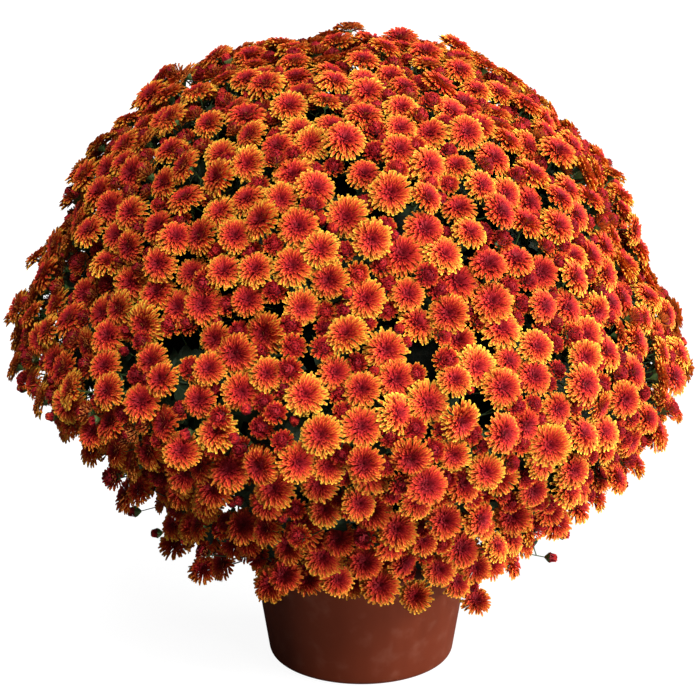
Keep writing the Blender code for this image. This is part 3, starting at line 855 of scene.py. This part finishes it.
def leaf_pattern():
    """A lobed leaf as shares: points (way along, way across from -1 to 1) and triangles."""
    shares = [(along, 0.0) for along in LEAF_MIDRIB]
    ribs = [int(np.argmin([abs(along - rib) for rib in LEAF_MIDRIB])) for along, _ in LEAF_EDGE]
    faces = []
    for way in (1, -1):
        start = len(shares)
        shares += [(along, way * across) for along, across in LEAF_EDGE]
        for n in range(len(LEAF_EDGE) - 1):
            faces.append((start + n, start + n + 1, ribs[n])[::way])
            if ribs[n] != ribs[n + 1]:
                faces.append((start + n + 1, ribs[n + 1], ribs[n])[::way])
    return np.array(shares), np.array(faces)


def drawn(dice, limits, count):
    """A random number for each leaf, in a column that goes with its points."""
    return np.array([dice.uniform(*limits) for _ in range(count)])[:, None, None]


def add_leaves(heap, roots, headings, faces_up, sizes, dice):
    """Lobed leaves with a folded midrib, a drooping tip and a thin stalk each."""
    shares, faces = leaf_pattern()
    along, across = shares[:, 0], shares[:, 1]
    heading = unit(headings)[:, None]
    side = unit(np.cross(heading, faces_up[:, None]))
    up = np.cross(side, heading)
    reach = (LEAF_STALK_LENGTH + along)[None, :, None]
    width = (LEAF_HALF_WIDTH * across)[None, :, None]
    wave = (LEAF_WAVE * np.sin(LEAF_WAVES * along) * np.abs(across))[None, :, None]
    share = np.linspace(0, 1, 3)[None, :, None] * (LEAF_STALK_LENGTH + LEAF_STALK_OVERLAP)
    for cell in range(LEAF_CELLS):
        picked = np.arange(cell, len(roots), LEAF_CELLS)
        root, size = roots[picked, None], sizes[picked, None, None]
        droop = drawn(dice, LEAF_DROOP, len(picked))
        fold = drawn(dice, LEAF_FOLD, len(picked))
        curl = drawn(dice, LEAF_CURL, len(picked))
        rise = fold * np.abs(width) - droop * reach**2 + curl * across[None, :, None] + wave
        bend = heading[picked] * (reach - 0.3 * droop * reach**2)
        points = root + size * (bend + side[picked] * width + up[picked] * rise)
        places = band_place(float(cell), along, 0.5 + 0.5 * across, LEAF_CELLS, LEAF_BAND)
        heap.add(points, faces, places, LEAF_FINISH)
        line = heading[picked] * share - up[picked] * droop * share**2
        heap.add_stalks(root + size * line, LEAF_STALK)


def spray_leaves(number, paths, blooms, dice):
    """Roots, headings, faces and sizes of the leaves on one spray's stalks."""
    leaves = []
    normal = SPRAY_NORMALS[number]
    for _ in range(LEAVES_PER_SPRAY):
        path = paths[dice.randrange(len(paths))]
        share = dice.uniform(*LEAF_STARTS) * (len(path) - 1)
        knot = min(int(share), len(path) - 2)
        root = path[knot] + (path[knot + 1] - path[knot]) * (share - knot)
        away = sideways(normal, dice.uniform(0.0, math.tau))
        heading = away + normal * dice.uniform(*LEAF_OUTWARD)
        face_up = normal + LEAF_ROLL * away * dice.uniform(-1, 1) + UP * LEAF_UPRIGHT
        leaves.append((root, heading, face_up, LEAF_LENGTH * dice.uniform(*LEAF_SIZES)))
    roots, headings, faces_up, sizes = (np.array(column) for column in zip(*leaves))
    return roots, held_in(roots, unit(headings), sizes, blooms), faces_up, sizes


def held_in(roots, headings, sizes, blooms):
    """Headings bent inwards where a leaf would reach out between the blooms."""
    points = np.array([place.point for place in blooms])
    normals = np.array([place.normal for place in blooms])
    tips = roots + headings * sizes[:, None] * LEAF_REACH
    nearest = np.argmin(np.linalg.norm(tips[:, None] - points[None], axis=2), axis=1)
    cover = np.interp(normals[nearest][:, 2], (LOW_NORMAL, 0.0), (LOW_LEAF_COVER, LEAF_COVER))
    outside = ((tips - points[nearest]) * normals[nearest]).sum(1) + cover
    return headings - normals[nearest] * (np.maximum(outside, 0.0) / sizes)[:, None]


def inner_leaves(number, paths, dice):
    """Roots, headings, faces and sizes of broad leaves deep in the plant, against the light behind."""
    leaves = []
    normal = SPRAY_NORMALS[number]
    for _ in range(INNER_LEAVES):
        path = paths[dice.randrange(len(paths))]
        root = path[0] + (path[-1] - path[0]) * dice.uniform(0.0, 1.0)
        away = sideways(normal, dice.uniform(0.0, math.tau))
        heading = away + normal * dice.uniform(*INNER_LEAF_OUTWARD)
        size = LEAF_LENGTH * dice.uniform(*INNER_LEAF_SIZES)
        leaves.append((root, heading, normal + INNER_LEAF_ROLL * away, size))
    return tuple(np.array(column) for column in zip(*leaves))


def add_shade_thicket(heap, number, dice):
    """A near-black lump deep below a spray: painted shade for the dense old growth there, which also shuts
    out the light from behind.
    """
    bm = bmesh.new()
    bmesh.ops.create_icosphere(bm, subdivisions=2, radius=1.0)
    ball = np.array([vertex.co[:] for vertex in bm.verts])
    faces = np.array([[vertex.index for vertex in face.verts] for face in bm.faces])
    bm.free()
    lumps = np.array([dice.uniform(*THICKET_LUMPS) for _ in ball])[:, None]
    normal = SPRAY_NORMALS[number]
    side, up = tangents(normal[None])
    depth = THICKET_DEPTH - CROWN_THICKET_RISE * max(0.0, normal[2])
    points = (ball * lumps * THICKET_SIZE) @ np.stack([side[0], up[0], normal])
    along, across = ball[:, 0] / 2 + 0.5, ball[:, 1] / 2 + 0.5
    places = band_place(float(number % LEAF_CELLS), along, across, LEAF_CELLS, THICKET_BAND)
    heap.add(SPRAY_MIDDLES[number] - normal * depth + points, faces, places, THICKET_SHADE_FINISH)


def add_stem(heap, azimuth):
    """The stem from the soil to its highest fork. Returns its path."""
    out = outward(azimuth)
    foot = out * STEM_RING + UP * (SOIL_TOP + SOIL_MOUND - STEM_BURIED)
    bow = out * (STEM_RING + STEM_BOW) + UP * STEM_BOW_HEIGHT
    fork = out * FORK_RING + UP * FORK_HEIGHT
    path = bent(foot[None], bow[None], fork[None], STEM_KNOTS)
    heap.add_stalks(path, STEM, 1 + STEM_KNOBS * np.cos(np.arange(STEM_KNOTS) * KNOB_TURN))
    return path[0]


def add_fork(heap, start, hub, normal, meets):
    """A fork from the stem to a spray's hub, and twigs to where its stalks meet. Returns the twigs."""
    bend = hub - normal * FORK_BEND * np.linalg.norm(hub - start)
    fork = bent(start[None], bend[None], hub[None], FORK_KNOTS)
    heap.add_stalks(fork, FORK)
    knees = (hub + normal * TWIG_BEND * HUB_DEPTH) * 0.5 + meets * 0.5
    twigs = bent(meets, knees, hub[None], TWIG_KNOTS)
    heap.add_stalks(twigs, TWIG)
    return twigs


def make_foliage(stem, sprays, blooms, materials, dice):
    """One stem from the soil, its three forks, the twigs of each spray, and all their leaves."""
    heap = Heap()
    path = add_stem(heap, (stem + STEMS) * GOLDEN_ANGLE + SPRAY_TURN)
    for order, number in enumerate(range(stem, SPRAYS, STEMS)):
        stalks, meets, hub = sprays[number]
        twigs = add_fork(heap, path[STEM_KNOTS - 1 - 2 * order], hub, SPRAY_NORMALS[number], meets)
        add_leaves(heap, *spray_leaves(number, np.concatenate([stalks, twigs[:, :4]]), blooms, dice), dice)
        add_leaves(heap, *inner_leaves(number, twigs, dice), dice)
        add_shade_thicket(heap, number, dice)
    piece = heap.piece(f"stem_foliage_{stem + 1}", materials, "leaf_green")
    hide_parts(f"leafy_stem_{stem + 1}")


# Shader nodes


def put(tree, kind, **settings):
    """A new shader node with its settings."""
    made = tree.nodes.new("ShaderNode" + kind)
    for name, value in settings.items():
        setattr(made, name, value)
    return made


def link(tree, source, target):
    """Feeds an input from a socket, or sets it to a plain value."""
    if isinstance(source, bpy.types.NodeSocket):
        tree.links.new(source, target)
    else:
        target.default_value = source


def calc(tree, operation, *values, clamp=False):
    """A Math node's result for these sockets or numbers."""
    made = put(tree, "Math", operation=operation, use_clamp=clamp)
    for value, target in zip(values, made.inputs):
        link(tree, value, target)
    return made.outputs[0]


def scaled(tree, value, gain, offset=0.0):
    """A value times a gain, plus an offset."""
    return calc(tree, "MULTIPLY_ADD", value, gain, offset)


def ramp(tree, value, stops):
    """A colour for a value, by stops of (position, colour)."""
    made = put(tree, "ValToRGB")
    while len(made.color_ramp.elements) < len(stops):
        made.color_ramp.elements.new(0.5)
    for element, (position, colour) in zip(made.color_ramp.elements, stops):
        element.position = position
        element.color = (*colour, 1.0)
    link(tree, value, made.inputs["Fac"])
    return made.outputs["Color"]


def blend_colours(tree, share, first, second):
    """Two colours mixed by a share."""
    made = put(tree, "Mix", data_type="RGBA")
    link(tree, share, made.inputs["Factor"])
    link(tree, first, made.inputs["A"])
    link(tree, second, made.inputs["B"])
    return made.outputs["Result"]


def noise(tree, vector, scale, detail=3.0, roughness=0.5):
    """Noise from 0 to 1 at a scale."""
    made = put(tree, "TexNoise")
    link(tree, vector, made.inputs["Vector"])
    for name, value in (("Scale", scale), ("Detail", detail), ("Roughness", roughness)):
        made.inputs[name].default_value = value
    return made.outputs["Fac"]


def stretched(tree, vector, scale):
    """The coordinates scaled along each axis."""
    made = put(tree, "Mapping")
    link(tree, vector, made.inputs["Vector"])
    made.inputs["Scale"].default_value = scale
    return made.outputs["Vector"]


def ridges(tree, height, depth, strength=1.0):
    """A normal for ridges and pits of this height map and depth."""
    made = put(tree, "Bump")
    for name, source in (("Height", height), ("Distance", depth), ("Strength", strength)):
        link(tree, source, made.inputs[name])
    return made.outputs["Normal"]


def new_group(name, inputs, outputs):
    """An empty node group with its ends: vector sockets for a place or normal, numbers for the rest."""
    tree = bpy.data.node_groups.new(name, "ShaderNodeTree")
    for way, sockets in (("INPUT", inputs), ("OUTPUT", outputs)):
        for socket in sockets:
            kind = "NodeSocketVector" if socket in ("Place", "Normal") else "NodeSocketFloat"
            tree.interface.new_socket(name=socket, in_out=way, socket_type=kind)
    return tree, tree.nodes.new("NodeGroupInput").outputs, tree.nodes.new("NodeGroupOutput").inputs


def cell_group():
    """Where a point lies on its petal or leaf: which cell, the way along it, and how near its edge."""
    tree, given, result = new_group(
        "cell_of_the_map", ("Place", "Cells", "Low", "Height"), ("Cell", "Along", "Edge")
    )
    parts = put(tree, "SeparateXYZ")
    link(tree, given["Place"], parts.inputs[0])
    spread = calc(tree, "MULTIPLY", parts.outputs[0], given["Cells"])
    last = calc(tree, "MAXIMUM", calc(tree, "SUBTRACT", given["Cells"], 1.0), 1.0)
    across = calc(tree, "DIVIDE", calc(tree, "SUBTRACT", parts.outputs[1], given["Low"]), given["Height"])
    link(tree, calc(tree, "DIVIDE", calc(tree, "FLOOR", spread), last), result["Cell"])
    link(tree, calc(tree, "FRACT", spread), result["Along"])
    link(tree, calc(tree, "ABSOLUTE", scaled(tree, across, 2.0, -1.0)), result["Edge"])
    return tree


def streak_group():
    """Fine lengthwise streaks: a mask, and a normal for the ridges."""
    tree, given, result = new_group(
        "lengthwise_streaks", ("Place", "Across Scale", "Along Scale", "Depth"), ("Streak", "Normal")
    )
    parts = put(tree, "SeparateXYZ")
    link(tree, given["Place"], parts.inputs[0])
    joined = put(tree, "CombineXYZ")
    link(tree, calc(tree, "MULTIPLY", parts.outputs[0], given["Along Scale"]), joined.inputs[0])
    link(tree, calc(tree, "MULTIPLY", parts.outputs[1], given["Across Scale"]), joined.inputs[1])
    streak = noise(tree, joined.outputs[0], 1.0, detail=2.0)
    link(tree, streak, result["Streak"])
    link(tree, ridges(tree, streak, given["Depth"], 0.5), result["Normal"])
    return tree


def use_group(tree, group, **values):
    """The outputs of a group placed in a material, with its inputs set or linked."""
    made = tree.nodes.new("ShaderNodeGroup")
    made.node_tree = group
    for name, value in values.items():
        link(tree, value, made.inputs[name.replace("_", " ")])
    return made.outputs


def use_cells(tree, cells, place, count, band):
    """The outputs of the cell group for one band of the map."""
    return use_group(tree, cells, Place=place, Cells=float(count), Low=band[0], Height=band[1] - band[0])


def map_place(tree):
    """The place on the plant's own map."""
    return put(tree, "UVMap", uv_map=MAP_NAME).outputs["UV"]


# Materials


def new_material(name, roughness, **values):
    """A material with its tree and the inputs of its shader."""
    material = bpy.data.materials.new(name)
    material.use_nodes = True
    inputs = material.node_tree.nodes["Principled BSDF"].inputs
    inputs["Roughness"].default_value = roughness
    for socket, value in values.items():
        inputs[socket.replace("_", " ")].default_value = value
    return material, material.node_tree, inputs


def dress(tree, inputs, colour, roughness, normal):
    """Feeds the shader its colour, roughness and normal."""
    for name, source in (("Base Color", colour), ("Roughness", roughness), ("Normal", normal)):
        link(tree, source, inputs[name])


def petal_material(cells, streaks):
    """Petals: crimson at the eye, through red and orange to a yellow edge, duller on the back, and darker
    towards each petal's foot, partly its own crimson base and partly painted shade under the petals above.
    """
    material, tree, inputs = new_material("bronze_petals", 0.6, Specular_IOR_Level=0.12)
    place = map_place(tree)
    spot = use_cells(tree, cells, place, PETAL_CELLS, PETAL_BAND)
    cell, along, edge = spot["Cell"], spot["Along"], spot["Edge"]
    veins = use_group(tree, streaks, Place=place, Across_Scale=22.0, Along_Scale=30.0, Depth=0.0004)
    # Darker towards each petal's foot: partly the petal's own crimson base, partly painted shade where the
    # petals above cover it
    reach = calc(tree, "POWER", along, 2.6)
    tone = scaled(tree, cell, 0.32, scaled(tree, reach, scaled(tree, cell, 0.38, 0.10)))
    side = calc(tree, "MULTIPLY", calc(tree, "SUBTRACT", edge, 0.40), 2.0, clamp=True)
    border = calc(tree, "MAXIMUM", side, calc(tree, "POWER", along, 8.0))
    rim = scaled(tree, border, scaled(tree, cell, 0.30, 0.24))
    tone = scaled(tree, rim, calc(tree, "POWER", along, 0.7), tone)
    tone = calc(tree, "ADD", tone, scaled(tree, veins["Streak"], 0.16, -0.08))
    back = put(tree, "NewGeometry").outputs["Backfacing"]
    colour = blend_colours(tree, scaled(tree, back, 0.55), ramp(tree, tone, PETAL_TONES), PETAL_BACK)
    dress(tree, inputs, colour, scaled(tree, veins["Streak"], -0.18, 0.72), veins["Normal"])
    return material


def stalk_material(cells, streaks):
    """Stalks, cups and stems: soft green, browner on the old wood."""
    material, tree, inputs = new_material("stalk_green", 0.5)
    place = map_place(tree)
    spot = use_cells(tree, cells, place, LEAF_CELLS, STALK_BAND)
    veins = use_group(tree, streaks, Place=place, Across_Scale=60.0, Along_Scale=25.0, Depth=0.0004)
    tone = scaled(tree, veins["Streak"], 0.35, scaled(tree, spot["Cell"], 0.75))
    roughness = scaled(tree, veins["Streak"], 0.25, 0.40)
    dress(tree, inputs, ramp(tree, tone, STALK_TONES), roughness, veins["Normal"])
    return material


def leaf_material(cells):
    """Leaves: grey green with paler veins, and a mottle that differs from leaf to leaf, all darkened near
    to black as painted shade among the blooms.
    """
    material, tree, inputs = new_material("grey_green_leaf_with_shade", 0.55, Specular_IOR_Level=0.22)
    place = map_place(tree)
    spot = use_cells(tree, cells, place, LEAF_CELLS, LEAF_BAND)
    rib = calc(tree, "SUBTRACT", 1.0, scaled(tree, spot["Edge"], 16.0), clamp=True)
    slant = scaled(tree, spot["Edge"], -0.55, spot["Along"])
    comb = calc(tree, "ABSOLUTE", calc(tree, "SINE", scaled(tree, slant, 22.0)))
    side_veins = calc(tree, "SUBTRACT", 1.0, scaled(tree, comb, 7.0), clamp=True)
    vein = calc(tree, "MAXIMUM", rib, scaled(tree, side_veins, 0.7))
    mottle = noise(tree, stretched(tree, place, (60.0, 14.0, 1.0)), 1.0, detail=4.0)
    tone = scaled(tree, mottle, 0.6, scaled(tree, spot["Cell"], 0.4))
    colour = blend_colours(tree, scaled(tree, vein, 0.6), ramp(tree, tone, LEAF_TONES_WITH_SHADE), LEAF_VEIN)
    normal = ridges(tree, scaled(tree, vein, -0.7, mottle), 0.0006, 0.5)
    dress(tree, inputs, colour, scaled(tree, mottle, 0.30, 0.42), normal)
    return material


def thicket_shade_material():
    """Painted shade for the old growth inside: almost black green, mottled with dead leaf brown."""
    material, tree, inputs = new_material("painted_shade_thicket", 0.9, Specular_IOR_Level=0.03)
    place = stretched(tree, map_place(tree), (160.0, 300.0, 1.0))
    mottle = noise(tree, place, 1.0, detail=5.0, roughness=0.7)
    colour = ramp(tree, mottle, THICKET_SHADE_TONES)
    dress(tree, inputs, colour, scaled(tree, mottle, 0.2, 0.75), ridges(tree, mottle, 0.004))
    return material


def pot_material():
    """Moulded terracotta plastic: a satin skin with faint flow marks, scuffs and dusty water marks."""
    material, tree, inputs = new_material("terracotta_plastic", 0.5, Specular_IOR_Level=0.12)
    place = put(tree, "TexCoord").outputs["Object"]
    flow = noise(tree, stretched(tree, place, (60.0, 60.0, 5.0)), 1.0, detail=4.0)
    cloud = noise(tree, place, 14.0, detail=3.0)
    grain = noise(tree, place, 1400.0, detail=2.0)
    marks = noise(tree, place, 55.0, detail=6.0)
    dust = calc(tree, "MULTIPLY", calc(tree, "SUBTRACT", marks, 0.52), 3.0, clamp=True)
    tone = scaled(tree, flow, 0.35, scaled(tree, cloud, 0.65))
    colour = blend_colours(tree, scaled(tree, dust, 0.10), ramp(tree, tone, POT_TONES), POT_DUST)
    roughness = scaled(tree, grain, 0.10, scaled(tree, dust, 0.12, 0.36))
    dress(tree, inputs, colour, roughness, ridges(tree, scaled(tree, grain, 0.5, flow), 0.0003, 0.25))
    return material


def soil_material():
    """Potting mix: dark peat with brown bark crumbs and a few pale grains."""
    material, tree, inputs = new_material("potting_mix", 0.95)
    place = put(tree, "TexCoord").outputs["Object"]
    crumb = put(tree, "TexVoronoi")
    link(tree, place, crumb.inputs["Vector"])
    crumb.inputs["Scale"].default_value = 260.0
    peat = noise(tree, place, 120.0, detail=6.0)
    tone = scaled(tree, crumb.outputs["Distance"], 0.6, scaled(tree, peat, 0.6))
    colour = ramp(tree, tone, SOIL_TONES)
    dress(tree, inputs, colour, scaled(tree, peat, 0.25, 0.75), ridges(tree, tone, 0.002))
    return material


# Pot and soil


def pot_radius(height):
    """The pot's outside radius at a height, below its lip."""
    return POT_BASE_RADIUS + POT_FLARE * height


def rounded(first, corner, last, radius, steps):
    """Points round a corner of a profile, between the lines to the first and the last point."""
    first, corner, last = (Vector(point) for point in (first, corner, last))
    start = corner + (first - corner).normalized() * radius
    end = corner + (last - corner).normalized() * radius
    points = []
    for step in range(steps + 1):
        share = step / steps
        points.append(tuple(start.lerp(corner, share).lerp(corner.lerp(end, share), share)))
    return points


def lathed(name, profile, sides):
    """A turned object from a closed (radius, height) profile that starts and ends on the axis."""
    bm = bmesh.new()
    line = [bm.verts.new((radius, 0.0, height)) for radius, height in profile]
    edges = [bm.edges.new(pair) for pair in zip(line, line[1:])]
    bmesh.ops.spin(
        bm, geom=line + edges, cent=(0, 0, 0), axis=(0, 0, 1), angle=math.tau, steps=sides, use_merge=True
    )
    bmesh.ops.remove_doubles(bm, verts=bm.verts[:], dist=0.00001)
    bmesh.ops.recalc_face_normals(bm, faces=bm.faces[:])
    mesh = mesh_of(name, bm)
    mesh.shade_smooth()
    mesh.set_sharp_from_angle(angle=math.radians(35))
    return new_object(name, mesh)


def pot_profile():
    """The pot's profile: its floor and wall inside, the rolled lip, the wall outside, and the foot."""
    axis = (0.0, POT_WALL)
    corner = (POT_BASE_RADIUS - POT_WALL, POT_WALL)
    mouth = (pot_radius(POT_HEIGHT) - POT_WALL, POT_HEIGHT)
    lip_foot = POT_HEIGHT - POT_LIP_HEIGHT
    lip_top = (pot_radius(POT_HEIGHT) + POT_LIP_WIDTH, POT_HEIGHT)
    lip_edge = (lip_top[0], lip_foot)
    below = (pot_radius(lip_foot - POT_LIP_STEP), lip_foot - POT_LIP_STEP)
    profile = [axis]
    profile += rounded(axis, corner, mouth, POT_INSIDE_ROUND, 5)
    profile += rounded(corner, mouth, lip_top, POT_EDGE_ROUND, 3)
    profile += rounded(mouth, lip_top, lip_edge, POT_LIP_ROUND, 5)
    profile += rounded(lip_top, lip_edge, (pot_radius(lip_foot), lip_foot), POT_EDGE_ROUND, 3)
    profile.append(below)
    profile += rounded(below, (POT_BASE_RADIUS, 0.0), (0.0, 0.0), POT_FOOT_ROUND, 9)
    return profile + [(POT_STAND[0], 0.0), (POT_STAND[1], POT_STAND_HEIGHT), (0.0, POT_STAND_HEIGHT)]


def cut_drain_holes(pot):
    """Round holes through the pot's floor."""
    bm = bmesh.new()
    for hole in range(DRAIN_HOLES):
        place = outward(math.tau * (hole + 0.5) / DRAIN_HOLES) * DRAIN_RING + UP * 0.001
        bmesh.ops.create_cone(
            bm, cap_ends=True, segments=24, radius1=DRAIN_RADIUS, radius2=DRAIN_RADIUS,
            depth=2 * DRAIN_RADIUS, matrix=Matrix.Translation(place),
        )
    cutter = new_object("drain_cutter", mesh_of("drain_cutter", bm))
    cut = pot.modifiers.new("Drain holes", "BOOLEAN")
    cut.operation = "DIFFERENCE"
    cut.object = cutter
    bpy.context.view_layer.update()
    evaluated = pot.evaluated_get(bpy.context.evaluated_depsgraph_get())
    pot.data = bpy.data.meshes.new_from_object(evaluated)
    pot.modifiers.clear()
    bpy.data.objects.remove(cutter)


def make_pot(material):
    """The grower's pot: a thin tapered wall, a rounded foot, a rolled rim and drain holes."""
    pot = lathed("growers_pot", pot_profile(), POT_SIDES)
    pot.data.materials.append(material)
    cut_drain_holes(pot)
    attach(pot, "root")
    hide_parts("pot")


def soil_profile():
    """The soil's profile: the plain body inside the pot, and a top that mounds to the middle."""
    inside = POT_BASE_RADIUS - POT_WALL - SOIL_CLEARANCE
    bottom = POT_WALL + SOIL_CLEARANCE
    top = pot_radius(SOIL_TOP) - POT_WALL - SOIL_CLEARANCE
    profile = [(0.0, bottom), (inside - SOIL_CORNER[0], bottom), (inside + SOIL_SPREAD, SOIL_CORNER[1])]
    for ring in range(SOIL_RINGS):
        share = ring / SOIL_RINGS
        profile.append((top * (1 - share), SOIL_TOP + SOIL_MOUND * math.sin(math.pi / 2 * share)))
    return profile + [(0.0, SOIL_TOP + SOIL_MOUND)]


def make_soil(material, dice):
    """The filled pot's soil, with a lumpy top."""
    soil = lathed("potting_soil", soil_profile(), SOIL_SIDES)
    for vertex in soil.data.vertices:
        if vertex.co.z > SOIL_TOP + 0.0001:
            vertex.co.z += dice.uniform(*SOIL_LUMPS)
    soil.data.materials.append(material)
    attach(soil, "root")
    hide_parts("soil")


# Floor, light and camera


def make_floor():
    """A plain pale floor."""
    bm = bmesh.new()
    bmesh.ops.create_circle(bm, cap_ends=True, segments=96, radius=FLOOR_RADIUS)
    floor = new_object("studio_floor", mesh_of("studio_floor", bm))
    floor.location.z = -FLOOR_DROP
    material, tree, inputs = new_material("pale_floor", 0.9, Base_Color=FLOOR_GREY, Emission_Color=WHITE)
    seen = put(tree, "LightPath").outputs["Is Camera Ray"]
    link(tree, scaled(tree, seen, FLOOR_GLOW), inputs["Emission Strength"])
    floor.data.materials.append(material)


def towards_camera(azimuth, elevation):
    """The direction at these degrees to the right of the camera's side and above the floor."""
    azimuth, elevation = math.radians(azimuth), math.radians(elevation)
    level = math.cos(elevation)
    return Vector((math.sin(azimuth) * level, -math.cos(azimuth) * level, math.sin(elevation)))


def make_lamp(name, azimuth, elevation, spread, strength):
    """A broad, soft light from far off."""
    data = bpy.data.lights.new(name, "SUN")
    data.angle = math.radians(spread)
    data.energy = strength
    lamp = new_object(name, data)
    back = towards_camera(azimuth, elevation)
    lamp.location = back * LAMP_DISTANCE
    lamp.rotation_euler = back.to_track_quat("Z", "Y").to_euler()


def make_camera():
    """The camera, level with the photograph's view of the plant."""
    data = bpy.data.cameras.new("camera")
    data.sensor_width = SENSOR_WIDTH
    data.lens = CAMERA_DISTANCE * PIXELS_PER_METRE * SENSOR_WIDTH / PHOTO_PIXELS
    camera = new_object("camera", data)
    back = towards_camera(0.0, CAMERA_ELEVATION)
    camera.location = Vector(CAMERA_TARGET) + back * CAMERA_DISTANCE
    camera.rotation_euler = back.to_track_quat("Z", "Y").to_euler()
    bpy.context.scene.camera = camera


def make_world():
    """Soft light from all sides, in front of a white background."""
    world = bpy.data.worlds.new("studio")
    bpy.context.scene.world = world
    world.use_nodes = True
    tree = world.node_tree
    background = tree.nodes["Background"]
    background.inputs["Color"].default_value = WHITE
    seen = put(tree, "LightPath").outputs["Is Camera Ray"]
    link(tree, scaled(tree, seen, 1.0 - AMBIENT, AMBIENT), background.inputs["Strength"])
    bpy.context.scene.view_settings.view_transform = "Standard"


def make_plant(dice):
    """All sprays and all stems with their foliage."""
    cells, streaks = cell_group(), streak_group()
    stalks = stalk_material(cells, streaks)
    spray_finishes = (petal_material(cells, streaks), stalks)
    # The third finish is the near-black painted shade of the lumps inside
    leaf_finishes = (leaf_material(cells), stalks, thicket_shade_material())
    patterns = [patterns_of(kind, dice) for kind in (OPEN, HALF, BUD)]
    places = scatter(dice)
    settle(places, patterns, dice)
    sprays = []
    for number in range(SPRAYS):
        own = [place for place in places if place.spray == number]
        sprays.append(make_spray(number, own, patterns, spray_finishes, dice))
    for stem in range(STEMS):
        make_foliage(stem, sprays, places, leaf_finishes, dice)


def main():
    dice = random.Random(SEED)
    make_plant(dice)
    make_pot(pot_material())
    make_soil(soil_material(), dice)
    make_floor()
    for lamp in LAMPS:
        make_lamp(*lamp)
    make_world()
    make_camera()


main()
